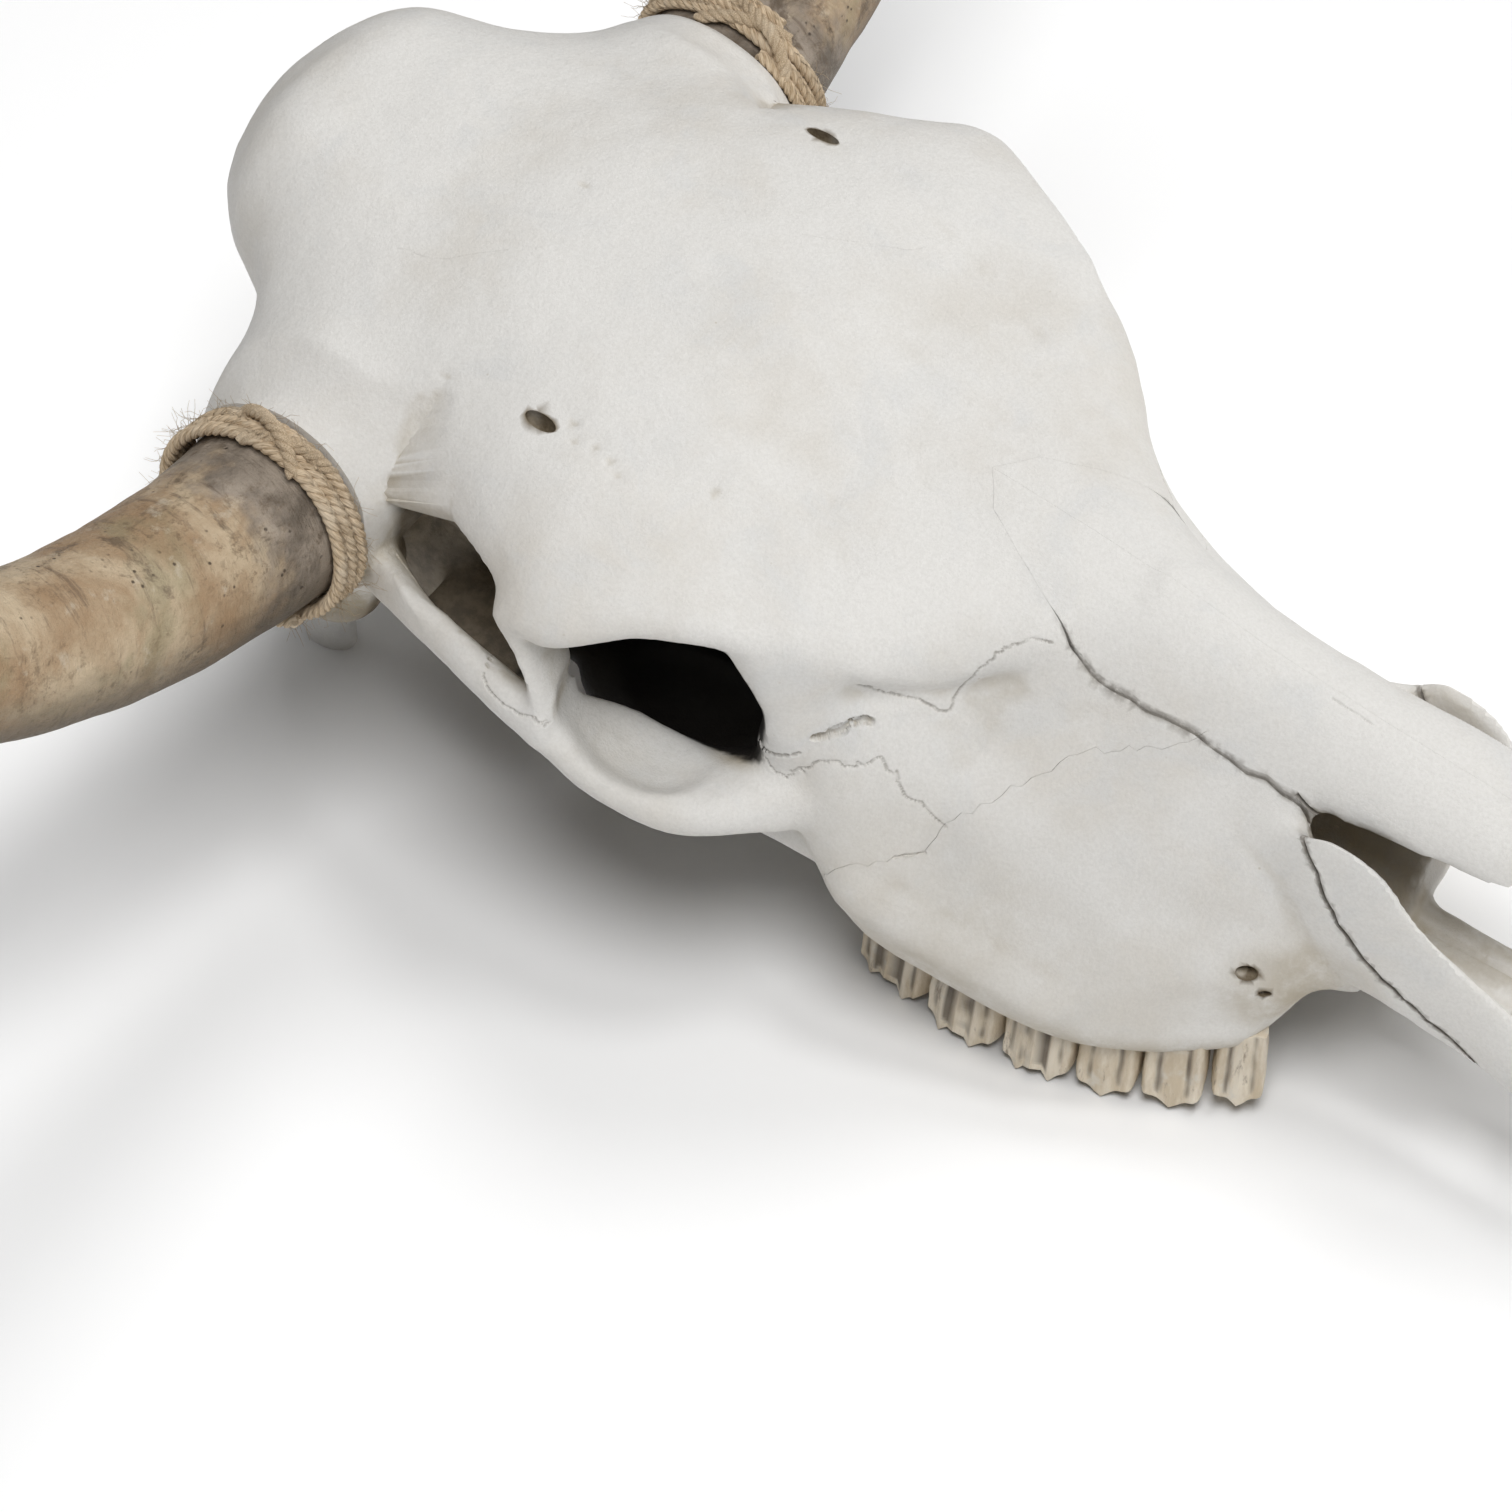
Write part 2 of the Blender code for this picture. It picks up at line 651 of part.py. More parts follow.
def main():
    for obj in list(bpy.data.objects):
        bpy.data.objects.remove(obj)
    skull = weld(whole_skull(), VOXEL, 3)
    combine(skull, weld(hollow_forms(), VOXEL, 1))
    skull = keep_largest(weld(skull, VOXEL, 3), "skull")
    thin_out(skull, BONE_TRIANGLES)
    below = [(-300, -50), (300, -50), (300, FLOOR_Z), (-300, FLOOR_Z)]
    combine(skull, prism("below_floor", below, -300, 300, side_view))
    for side in (1, -1):
        combine(skull, horn_seat(side))
        add_tooth_row(skull, side)
    part_bones(skull)
    separate_bones(skull)
    for side, word in ((1, "left"), (-1, "right")):
        give_material(make_horn(side, "horn_" + word), "horn_" + word, "horn")
        give_material(make_rope(side, "rope_" + word), "rope_" + word, "twine")
    for obj in bpy.data.objects:
        finish(obj)


main()
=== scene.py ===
"""Looks of the horned cow skull: bones, cheek teeth, horns and their twine bindings.

Sizes are millimetres in the part's own frame, apart from a shift along Y that finish_piece
takes off; X points to the animal's left, -Y to its muzzle and +Z up.
"""

import math
import random

import bmesh
import bpy
import numpy as np
from mathutils import Matrix, Vector, noise
from mathutils.bvhtree import BVHTree
from mathutils.kdtree import KDTree


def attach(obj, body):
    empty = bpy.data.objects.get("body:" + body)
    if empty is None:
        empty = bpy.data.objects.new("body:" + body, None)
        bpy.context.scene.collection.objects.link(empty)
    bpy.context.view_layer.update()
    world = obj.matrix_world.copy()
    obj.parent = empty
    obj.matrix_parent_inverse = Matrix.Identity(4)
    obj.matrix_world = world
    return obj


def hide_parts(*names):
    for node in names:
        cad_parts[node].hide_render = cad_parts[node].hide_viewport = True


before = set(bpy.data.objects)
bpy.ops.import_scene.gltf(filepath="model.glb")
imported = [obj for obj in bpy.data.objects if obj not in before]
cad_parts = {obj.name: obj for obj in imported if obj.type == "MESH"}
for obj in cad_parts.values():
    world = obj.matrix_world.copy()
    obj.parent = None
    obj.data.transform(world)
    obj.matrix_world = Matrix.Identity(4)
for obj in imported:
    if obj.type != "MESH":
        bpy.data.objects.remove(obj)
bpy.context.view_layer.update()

MM = 0.001
ORIGIN_Y = 27.0
CELL = 2.0              # size of the remesh cells that fuse the skull
MOST_TRIANGLES = 190000  # of one piece
SIDES = (1, -1)         # the animal's left and right
WORD = {1: "left", -1: "right"}

# ---- shape of the skull, from poll to muzzle: pairs of (y, size) --------------------------
ROOF_TOP = ((284, 180), (268, 193), (240, 191), (205, 187), (172, 185), (109, 177), (67, 164),
            (25, 155), (0, 151), (-25, 145))
ROOF_HALF = ((284, 33), (268, 50), (250, 61), (235, 80), (205, 92), (168, 91), (132, 107),
             (110, 120), (85, 105), (62, 92), (40, 80), (25, 65), (8, 44), (-25, 24))
ROOF_EDGE = ((284, 156), (268, 156), (235, 146), (205, 148), (168, 153), (132, 154), (108, 149),
             (85, 154), (62, 152), (40, 144), (25, 136), (-25, 126))
ROOF_THICK = ((284, 14), (235, 30), (205, 44), (166, 20), (108, 11), (62, 12), (-25, 18))

FACE_TOP = ((62, 160), (25, 154), (5, 151), (-30, 144), (-60, 137), (-80, 132), (-88, 121),
            (-96, 104), (-106, 86))
FACE_HALF = ((62, 80), (50, 82), (40, 86), (25, 88), (5, 85), (-31, 76), (-47, 71), (-60, 64),
             (-81, 50), (-95, 40), (-106, 34))
FACE_WIDEST = ((62, 98), (50, 88), (40, 75), (25, 61), (5, 52), (-31, 36), (-60, 34), (-81, 42),
               (-95, 56), (-106, 62))
FACE_BASE = ((62, 84), (50, 64), (40, 42), (32, 25), (20, 18), (-81, 18), (-90, 32), (-98, 50),
             (-106, 54))
FACE_BASE_POWER = ((62, 2.0), (40, 2.1), (20, 2.4), (-31, 3.4))
FACE_POWER = ((62, 3.2), (40, 2.6), (20, 1.65), (5, 1.42), (-31, 1.38), (-60, 1.42),
              (-81, 1.6), (-106, 1.9))

NASAL_TOP = ((-10, 151), (-47, 141), (-81, 134), (-117, 128), (-150, 122), (-166, 118))
NASAL_HALF = ((-10, 27.5), (-47, 25.5), (-81, 25.5), (-117, 22.5), (-150, 20), (-166, 16))
NASAL_DROP = ((-10, 20), (-47, 23), (-81, 22), (-117, 15), (-150, 11), (-166, 7))
NASAL_WALL = 4.0
NASAL_POWER = ((-30, 1.8), (-90, 1.9), (-120, 2.4), (-166, 2.6))

TEETH = ((15, 15), (18, 18), (18, 19), (22, 22), (25, 23), (27, 21))
TOOTH_ROW_FRONT = -90
TOOTH_ROW_X = ((-90, 40), (-70, 50), (-45, 58), (-15, 62), (10, 60), (36, 55))
TOOTH_ROOT_Z = 26
TOOTH_TIP_Z = ((-90, 6), (-60, 1), (36, 0))
CUSP_DEPTH = 5.6        # from a cusp's tip down to the valley beside it
TOOTH_OVERLAP = 0.5

NASAL_SEAM = ((24.6, -112), (25.2, -81), (25.5, -47), (28, -22), (29.3, -8))
NASAL_ROOT = ((26.5, 1), (22, 11), (12, 29))
NASAL_APEX = 37
NASAL_UNDERSIDE = (-81, 109, 0.14)
NASAL_NOTCH = ((6, -175), (13, -175), (10, -149))
FACE_SEAM = ((-62, 133), (-46, 120), (-19, 109), (6, 90), (9, 81), (28, 74), (40, 58), (44, 40),
             (46, -8))
MUZZLE_SEAM = ((-79, 117), (-88, 111), (-95, 101), (-102, 89), (-111, 79), (-128, 67),
               (-148, 56), (-156, 40))

HORN_BASE_X = 105
HORN_BASE_Y = {1: 203, -1: 210}
HORN_BASE_Z = {1: 137, -1: 131.5}
HORN_LENGTH = 328
HORN_STEPS = 14
HORN_BASE_RADIUS = 28.5
HORN_TIP_RADIUS = 3.0
HORN_RISE_START = {1: 12, -1: 8}
HORN_RISE_END = 64
HORN_SWEEP = 16
COLLAR_RADIUS = 32.3    # of the bone where it meets the horn
COLLAR_FLARE = 0.12     # the radius grows by this times depth ** COLLAR_POWER
COLLAR_POWER = 1.65
SEAT_RADIUS = 36        # of the flat cut for horn and twine

TWINE_RADIUS = 2.1
PLY_RADIUS = 0.54 * TWINE_RADIUS
PLY_LIFT = 0.48 * TWINE_RADIUS  # from the twine's middle to a ply's middle
TWINE_TURNS = 3
TWINE_START = 2.2       # angle at which the first turn begins
TWINE_LEAN = 1.0        # pitch of the turns, in twine widths
TWINE_LAY = 9           # length over which the plies go round once
KNOT_ANGLE = 1.9        # of the crossing, on top of each horn
HAIR_COUNT = 340        # of loose hairs on each binding

SEAM_GAP = 0.3
HAIR = 0.05             # width of a closed suture
NASAL_SEAM_WIDTH = 0.8
MUZZLE_SEAM_WIDTH = 1.3
MUZZLE_SEAM_DARK = 0.8
NASAL_SEAM_DARK = 0.6    # of its open part
NASAL_ROOT_DARK = 0.06   # where the seam is closed
FACE_SEAM_WIDTH = 0.12


# ---- curves ------------------------------------------------------------------------------
def curve_table(knots):
    """Knots as sorted arrays with the slopes of a smooth curve through them."""
    pts = np.array(sorted(knots), float)
    x, y = pts[:, 0], pts[:, 1]
    slope = np.empty(len(x))
    slope[1:-1] = (y[2:] - y[:-2]) / (x[2:] - x[:-2])
    slope[0] = (y[1] - y[0]) / (x[1] - x[0])
    slope[-1] = (y[-1] - y[-2]) / (x[-1] - x[-2])
    return x, y, slope


def value_at(knots, t):
    """Smooth value through (position, value) knots; t may be an array."""
    x, y, slope = curve_table(knots)
    t = np.clip(np.asarray(t, float), x[0], x[-1])
    i = np.clip(np.searchsorted(x, t, side="right") - 1, 0, len(x) - 2)
    h = x[i + 1] - x[i]
    s = (t - x[i]) / h
    s2 = s * s
    s3 = s2 * s
    return ((2 * s3 - 3 * s2 + 1) * y[i] + (s3 - 2 * s2 + s) * h * slope[i]
            + (3 * s2 - 2 * s3) * y[i + 1] + (s3 - s2) * h * slope[i + 1])


def path_points(points, count):
    """Points on a smooth curve through the given ones, as an array."""
    pts = np.array(points, float)
    t = np.linspace(0, len(pts) - 1, count)
    return np.stack([value_at(list(enumerate(pts[:, a])), t) for a in range(pts.shape[1])], 1)


def unit(v):
    return v / np.maximum(np.linalg.norm(v, axis=-1, keepdims=True), 1e-9)


def smooth_step(x):
    x = np.clip(x, 0, 1)
    return x * x * (3 - 2 * x)


# ---- tools for meshes --------------------------------------------------------------------
def clear_selection():
    if bpy.context.object and bpy.context.object.mode != "OBJECT":
        bpy.ops.object.mode_set(mode="OBJECT")
    bpy.ops.object.select_all(action="DESELECT")


def pick(obj):
    clear_selection()
    obj.select_set(True)
    bpy.context.view_layer.objects.active = obj


def added(name):
    obj = bpy.context.object
    obj.name = name
    obj.data.name = name
    return obj


def join(objects, name):
    clear_selection()
    for obj in objects:
        obj.select_set(True)
    bpy.context.view_layer.objects.active = objects[0]
    bpy.ops.object.join()
    return added(name)


def apply_all(obj):
    pick(obj)
    for mod in list(obj.modifiers):
        bpy.ops.object.modifier_apply(modifier=mod.name)
    return obj


def coords(obj):
    co = np.empty(len(obj.data.vertices) * 3)
    obj.data.vertices.foreach_get("co", co)
    return co.reshape(-1, 3)


def set_coords(obj, co):
    obj.data.vertices.foreach_set("co", np.ascontiguousarray(co, float).ravel())
    obj.data.update()


def normals(obj):
    no = np.empty(len(obj.data.vertices) * 3, np.float32)
    obj.data.vertex_normals.foreach_get("vector", no)
    return no.reshape(-1, 3).astype(float)


def folded(pts):
    """Points of both sides laid on the animal's left side."""
    return np.abs(pts) * (1, 0, 0) + pts * (0, 1, 1)


def edge_ends(obj):
    """The two vertices of each edge, as two arrays of numbers."""
    edges = np.empty(len(obj.data.edges) * 2, np.int64)
    obj.data.edges.foreach_get("vertices", edges)
    return edges.reshape(-1, 2).T


def neighbour_sums(pts, a, b):
    """For each vertex, the sum of the places of the vertices joined to it."""
    return np.stack([np.bincount(a, pts[b, k], len(pts)) + np.bincount(b, pts[a, k], len(pts))
                     for k in range(3)], 1)


def paint(obj, name, values):
    """Store one number per vertex, for the material to read."""
    layer = obj.data.attributes.get(name) or obj.data.attributes.new(name, "FLOAT", "POINT")
    layer.data.foreach_set("value", np.asarray(values, np.float32))


def rolled(name, rings):
    """A flat grid rolled round rings of points, welded along its seam, with its ends closed."""
    rings = np.asarray(rings, float)
    rows, sides = rings.shape[:2]
    clear_selection()
    bpy.ops.mesh.primitive_grid_add(x_subdivisions=sides, y_subdivisions=rows - 1, size=1)
    obj = added(name)
    wrapped = np.concatenate([rings, rings[:, :1]], 1)
    set_coords(obj, wrapped.reshape(-1, 3) * MM)
    bpy.ops.object.mode_set(mode="EDIT")
    bpy.ops.mesh.select_all(action="SELECT")
    bpy.ops.mesh.remove_doubles(threshold=1e-6)
    bpy.ops.mesh.fill_holes(sides=0)
    bpy.ops.mesh.normals_make_consistent(inside=False)
    bpy.ops.object.mode_set(mode="OBJECT")
    return obj


def ball(centre, radii, turn=(0, 0, 0)):
    clear_selection()
    bpy.ops.mesh.primitive_uv_sphere_add(
        segments=48, ring_count=32, radius=1, location=Vector(centre) * MM,
        rotation=[math.radians(a) for a in turn], scale=[r * MM for r in radii])
    obj = added("ball")
    bpy.ops.object.transform_apply()
    return obj


def limb(points, widths, heights, side=(1, 0, 0), count=40, sides=28):
    """Elliptical bar through points; widths lie along the side vector, heights across it."""
    line = path_points(points, count)
    ahead = unit(np.gradient(line, axis=0))
    across = np.array(side, float)
    across = unit(across - ahead * (ahead @ across)[:, None])
    other = np.cross(ahead, across)
    t = np.linspace(0, len(points) - 1, count)
    w = value_at(list(enumerate(widths)), t)[:, None, None]
    h = value_at(list(enumerate(heights)), t)[:, None, None]
    a = np.linspace(0, 2 * np.pi, sides, endpoint=False)[None, :, None]
    rings = line[:, None] + across[:, None] * w * np.cos(a) + other[:, None] * h * np.sin(a)
    return rolled("limb", rings)


def rounded(angle, half, rise, power):
    c = np.cos(angle)
    s = np.sin(angle)
    return (np.copysign(np.abs(c) ** (2 / power), c) * half,
            np.copysign(np.abs(s) ** (2 / power), s) * rise)


# ---- closed forms of the skull -----------------------------------------------------------
def body_loft(y_from, y_to, rows, half, widest, top, base, power, base_power):
    """Crowned body: a superellipse above its widest line and another below it."""
    a = np.linspace(0, 2 * np.pi, 96, endpoint=False)
    rings = []
    for y in np.linspace(y_from, y_to, rows):
        w = widest(y)
        x, z = rounded(a, half(y), top(y) - w, power(y))
        xb, zb = rounded(a, half(y), w - base(y), base_power(y))
        x = np.where(a <= np.pi, x, xb)
        z = np.where(a <= np.pi, z, zb)
        rings.append(np.stack([x, np.full(len(a), y), w + z], 1))
    return rolled("body", rings)


def along(knots):
    return lambda y: float(value_at(knots, y))


def roof():
    edge = along(ROOF_EDGE)
    thick = along(ROOF_THICK)
    return body_loft(284, -25, 110, along(ROOF_HALF), edge, along(ROOF_TOP),
                     lambda y: edge(y) - thick(y), lambda y: 2.2, lambda y: 2.6)


def face():
    return body_loft(62, -106, 80, along(FACE_HALF), along(FACE_WIDEST), along(FACE_TOP),
                     along(FACE_BASE), along(FACE_POWER), along(FACE_BASE_POWER))


def nasal_arch():
    """Both nasal bones as one arched shell, open below."""
    a = np.linspace(0, np.pi, 33)
    rings = []
    for y in np.linspace(-20, -166, 40):
        top = float(value_at(NASAL_TOP, y))
        half = float(value_at(NASAL_HALF, y))
        drop = float(value_at(NASAL_DROP, y))
        power = float(value_at(NASAL_POWER, y))
        level = np.full(len(a), y)
        x, z = rounded(a, half, drop, power)
        outer = np.stack([x, level, top - drop + z], 1)
        x, z = rounded(a, half - NASAL_WALL, drop - NASAL_WALL, power)
        inner = np.stack([x, level, top - drop + z], 1)
        rings.append(np.concatenate([outer, inner[::-1]]))
    return rolled("nasal_arch", rings)


def middle_forms():
    return [
        roof(), face(), nasal_arch(),
        ball((0, 168, 108), (60, 102, 50)),
        ball((0, 226, 105), (97, 34, 60)),
        ball((5, 259, 159), (55, 33, 34)),
        limb(((0, 30, 112), (0, 80, 112), (0, 130, 112)), (46, 40, 50), (42, 40, 40)),
        limb(((0, 262, 62), (0, 215, 60), (0, 130, 68), (0, 50, 78)), (22, 30, 24, 30),
             (12, 13, 14, 22)),
        limb(((0, -40, 46), (0, -80, 50), (0, -109, 52)), (40, 38, 30),
             (8, 6, 4.5))]


def side_forms(s):
    base = HORN_BASE_Y[s]
    return [
        ball((s * 30, 262, 68), (17, 18, 24), (0, s * -22, 0)),
        ball((s * 86, 203, 101), (18, 20, 17)),
        ball((s * 90, 206, 90), (14, 17, 15)),
        ball((s * 49, 196, 62), (10, 18, 23)),
        limb(((s * 68, 228, 82), (s * 60, 242, 50), (s * 53, 246, 22), (s * 50, 246, -6)),
             (13, 9, 7, 6), (20, 17, 13, 9)),
        limb(((s * 27, 52, 62), (s * 25, 85, 56), (s * 24, 122, 66)), (5, 4.5, 6), (26, 24, 14)),
        # A plate under each eye socket that the real skull lacks; it stops the view through the
        # socket and is painted black as shade.
        limb(((s * 42, 76, 68), (s * 44, 110, 70), (s * 44, 140, 71), (s * 40, 172, 70)),
             (16, 20, 22, 16), (5, 5, 5, 5)),
        limb(((s * 60, 148, 66), (s * 62, 166, 66), (s * 58, 188, 68)), (23, 24, 20), (5, 5, 5)),
        limb(((s * 79, 47, 146), (s * 77, 46, 134), (s * 75, 44, 121)), (6.5, 6.5, 6), (7, 7, 7)),
        limb(((s * 48, base + 6, 148), (s * 74, base + 1, 140), (s * 94, base, 136),
              (s * (HORN_BASE_X + 8), base, HORN_BASE_Z[s])), (28, 37, 34, 28),
             (30, 38, 34, 28), (0, 1, 0)),
        limb(((s * 82, 200, 102), (s * 103, 170, 117), (s * 112, 140, 116), (s * 115, 108, 107)),
             (12, 5.5, 5, 6.5), (12, 9, 8, 8)),
        limb(((s * 110, 116, 106), (s * 102, 95, 93), (s * 95.5, 74, 86), (s * 83, 56, 86),
              (s * 70, 36, 88)), (10, 18, 19, 15, 10), (7, 9, 10, 11, 14), (s, 0, 0.3)),
        limb(((s * 85, 61, 149), (s * 85, 57, 133), (s * 82, 52, 114), (s * 79, 53, 98)),
             (6, 6, 6, 7), (9, 9, 9, 9)),
        limb(((s * 58, 40, 66), (s * 62, 70, 60), (s * 64, 100, 60), (s * 56, 132, 68)),
             (24, 19, 20, 12), (22, 9, 7, 8)),
        limb(((s * 108, 122, 150), (s * 109, 114, 130), (s * 107, 110, 108)), (10, 10, 11),
             (6, 3.5, 6)),
        limb(((s * 33, -68, 74), (s * 32.5, -84, 83), (s * 33.5, -97, 87), (s * 32.5, -114, 80),
              (s * 31, -134, 71), (s * 31, -154, 64), (s * 33, -190, 50), (s * 32, -222, 44),
              (s * 24, -236, 42)),
             (3, 3.5, 3.8, 3.8, 4.2, 5, 8, 11, 7), (22, 28, 31, 22, 17, 13, 7, 5.5, 4.5),
             count=60),
        limb(((s * 6, -95, 52), (s * 5.5, -150, 49), (s * 10, -200, 43), (s * 24, -230, 42)),
             (7, 6, 6.5, 9), (4.5, 4.5, 4, 4.5))]


def hollow_forms():
    forms = [
        limb(((0, -38, 92), (0, -66, 92), (0, -100, 90), (0, -140, 92), (0, -178, 92)),
             (14, 25, 27, 30, 34), (12, 30, 31, 30, 30)),
        ball((0, 272, 88), (19, 30, 16)),
        limb(((0, 62, 50), (0, 0, 24), (0, -60, 22), (0, -88, 20)), (34, 44, 38, 26),
             (20, 17, 18, 20))]
    for s in SIDES:
        forms.append(ball((s * 96, 83.5, 117), (30, 29, 25), (0, 0, s * 12)))
        forms.append(ball((s * 60, 97, 98), (25, 38, 34)))
    return forms


# ---- fusing and cutting ------------------------------------------------------------------
def fuse(obj, cell, smoothing):
    """Remesh overlapping forms into one skin and soften the joins."""
    remesh = obj.modifiers.new("fuse", "REMESH")
    remesh.mode = "VOXEL"
    remesh.voxel_size = cell * MM
    if smoothing:
        smooth = obj.modifiers.new("smooth", "SMOOTH")
        smooth.factor = 0.5
        smooth.iterations = smoothing
    return apply_all(obj)


def cut(obj, tool):
    """Take the tool's volume off the object, and delete the tool."""
    mod = obj.modifiers.new("cut", "BOOLEAN")
    mod.object = tool
    mod.operation = "DIFFERENCE"
    mod.solver = "MANIFOLD"
    apply_all(obj)
    bpy.data.objects.remove(tool)
    return obj


def body_numbers(obj):
    """Number of the closed body that each vertex belongs to."""
    a, b = edge_ends(obj)
    label = np.arange(len(obj.data.vertices))
    while True:
        low = np.minimum(label[a], label[b])
        new = label.copy()
        np.minimum.at(new, a, low)
        np.minimum.at(new, b, low)
        new = new[new]
        if (new == label).all():
            return np.unique(label, return_inverse=True)[1]
        label = new


def keep_only(obj, keep):
    """Delete all vertices but those marked."""
    obj.data.vertices.foreach_set("select", ~keep)
    pick(obj)
    bpy.ops.object.mode_set(mode="EDIT")
    bpy.ops.mesh.select_mode(type="VERT")
    bpy.ops.object.mode_set(mode="OBJECT")
    obj.data.edges.foreach_set("select", np.zeros(len(obj.data.edges), bool))
    obj.data.polygons.foreach_set("select", np.zeros(len(obj.data.polygons), bool))
    obj.data.vertices.foreach_set("select", ~keep)
    bpy.ops.object.mode_set(mode="EDIT")
    bpy.ops.mesh.delete(type="VERT")
    bpy.ops.object.mode_set(mode="OBJECT")
    return obj


def largest_only(obj):
    number = body_numbers(obj)
    return keep_only(obj, number == np.bincount(number).argmax())


def wiggle(line, step, reach, seed):
    """Break a line of plane points into short steps that wander off it, as a suture does."""
    rng = random.Random(seed)
    pts = np.array(line, float)
    out = [pts[0]]
    for a, b in zip(pts, pts[1:]):
        length = np.linalg.norm(b - a)
        count = max(int(length / step), 1)
        side = np.array([a[1] - b[1], b[0] - a[0]]) / length
        for i in range(1, count):
            out.append(a + (b - a) * (i / count) + side * rng.uniform(-reach, reach))
        out.append(b)
    return np.array(out)


def blade(line, thickness, low, high, place):
    """Thin solid along a line of plane points; place(points, level) puts them into space."""
    line = np.array(line, float)
    ahead = unit(np.gradient(line, axis=0))
    side = np.stack([-ahead[:, 1], ahead[:, 0]], 1) * thickness / 2
    rings = []
    for p, s in zip(line, side):
        pts = np.array([p + s, p + s, p - s, p - s])
        levels = np.array([low, high, high, low])
        rings.append(place(pts, levels))
    return rolled("blade", rings)


def side_view(pts, x):
    return np.stack([x, pts[:, 0], pts[:, 1]], 1)


def plan_view(pts, z):
    return np.stack([pts[:, 0], pts[:, 1], z], 1)


def slab(outline, low, high, place):
    """Solid over an outline, between two levels."""
    pts = np.array(outline, float)
    n = len(pts)
    return rolled("slab", [place(pts, np.full(n, low)), place(pts, np.full(n, high))])


# ---- the skull, whole --------------------------------------------------------------------
def whole_skull():
    forms = middle_forms()
    for s in SIDES:
        forms += side_forms(s)
    skull = fuse(join(forms, "skull"), CELL, 4)
    cut(skull, fuse(join(hollow_forms(), "hollows"), CELL, 2))
    skull = fuse(skull, CELL, 2)
    return largest_only(skull)


# Where joins between forms are softened further, on both sides: centre, radius and rounds.
BLENDS = (((66, 222, 158), 46, 120), ((80, 52, 134), 17, 50), ((98, 196, 150), 24, 60),
          ((97, 196, 101), 17, 50),
          ((30, -14, 132), 16, 60), ((27, -38, 124), 15, 60), ((26, -60, 118), 14, 60),
          ((28, -80, 112), 12, 40))


def soften(skull):
    """Smooth the skin within a few balls, fading out to their edges."""
    a, b = edge_ends(skull)
    pts = coords(skull) / MM
    n = len(pts)
    for centre, radius, rounds in BLENDS:
        weight = smooth_step(1.4 - np.linalg.norm(folded(pts) - centre, axis=1) / radius)
        inside = weight > 0
        kept = inside[a] & inside[b]
        p, q = a[kept], b[kept]
        degree = np.maximum(np.bincount(p, minlength=n) + np.bincount(q, minlength=n), 1)
        chosen = np.flatnonzero(inside & (degree > 2))
        share = 0.6 * weight[chosen][:, None]
        for _ in range(rounds):
            mean = neighbour_sums(pts, p, q)[chosen] / degree[chosen][:, None]
            pts[chosen] += share * (mean - pts[chosen])
    set_coords(skull, pts * MM)
    return skull


def narrow_collars(skull):
    """Bring the bone down to the width of the horn where the horn begins."""
    pts = coords(skull) / MM
    for s in SIDES:
        points, aheads = horn_line(s)
        rel = pts - points[0]
        depth = -(rel @ aheads[0])
        radial = rel + aheads[0] * depth[:, None]
        r = np.linalg.norm(radial, axis=1)
        allowed = COLLAR_RADIUS + COLLAR_FLARE * np.maximum(depth, 0) ** COLLAR_POWER
        near = (depth > -25) & (depth < 26) & (r < 60) & (r > allowed)
        share = smooth_step((radial[:, 2] / np.maximum(r, 1e-3) + 0.25) / 0.35)
        pts[near] += (radial * (share * (allowed / np.maximum(r, 1e-3) - 1))[:, None])[near]
    set_coords(skull, pts * MM)
    return skull


def trim(skull):
    """Flat feet on the floor, and flat seats for the horns."""
    cut(skull, slab([(-300, -50), (300, -50), (300, 0), (-300, 0)], -300, 300, side_view))
    for s in SIDES:
        points, aheads = horn_line(s)
        rings = [circle_round(points[0] + aheads[0] * d, aheads[0], SEAT_RADIUS, 48)
                 for d in (0, 60)]
        cut(skull, rolled("seat", rings))
    return skull


# ---- sculpting ---------------------------------------------------------------------------
# Strokes on the right side of the head, mirrored for the left: points, reach and height,
# where a height below zero presses the bone in.
STROKES = (
    (((90, 174, 155), (92, 163, 153), (104, 140, 152), (117, 118, 149)), 7, 1.4),
    (((70, 134, 176), (69, 115, 174), (62, 88, 168), (52, 55, 158)), 12, -1.0),
    (((40, -22, 114), (47, -12, 108), (52, 2, 112)), 20, -3.0),
    (((34, 0, 141), (44, 11, 134), (56, 24, 122)), 9, 1.2),
    (((89, 24, 64), (83, 0, 54), (75, -32, 40)), 10, 3.0),
    (((79, 20, 84), (73, -5, 72), (66, -35, 60)), 18, -1.6),
    (((52, -52, 74), (48, -70, 74), (44, -82, 74)), 15, -1.8),
    (((60, -30, 30), (55, -55, 28), (46, -78, 30)), 9, 1.5),
    (((61, -25, 42), (58, -52, 40), (50, -74, 44)), 12, -1.4),
    (((93, 46, 84), (107, 66, 92), (114, 88, 96), (112, 108, 104)), 6, 1.0),
    (((108, 104, 152), (101, 84, 156), (90, 62, 151)), 7, 1.0),
    (((22, 262, 184), (46, 255, 180), (66, 244, 168)), 16, 1.5),
    (((26, 212, 190), (50, 200, 186)), 28, -1.6),
    (((24, 150, 185), (24, 90, 174), (20, 50, 163)), 24, -0.8),
    (((34, 262, 130), (52, 250, 120), (72, 232, 112)), 14, -3.5),
    (((0, 276, 150), (0, 277, 128), (0, 276, 110)), 8, 3.0),
    (((66, 150, 118), (70, 175, 112), (76, 195, 108)), 18, -3.0),
)


SLOW_WAVE = 23            # length of the bone's slow unevenness
QUICK_WAVE = 9
WAVE_HEIGHT = 0.45


def densely(points, step=1.5):
    """Points close together on a smooth curve through the given ones."""
    pts = np.array(points, float)
    length = np.linalg.norm(np.diff(pts, axis=0), axis=1).sum()
    return path_points(points, max(int(length / step), 2))


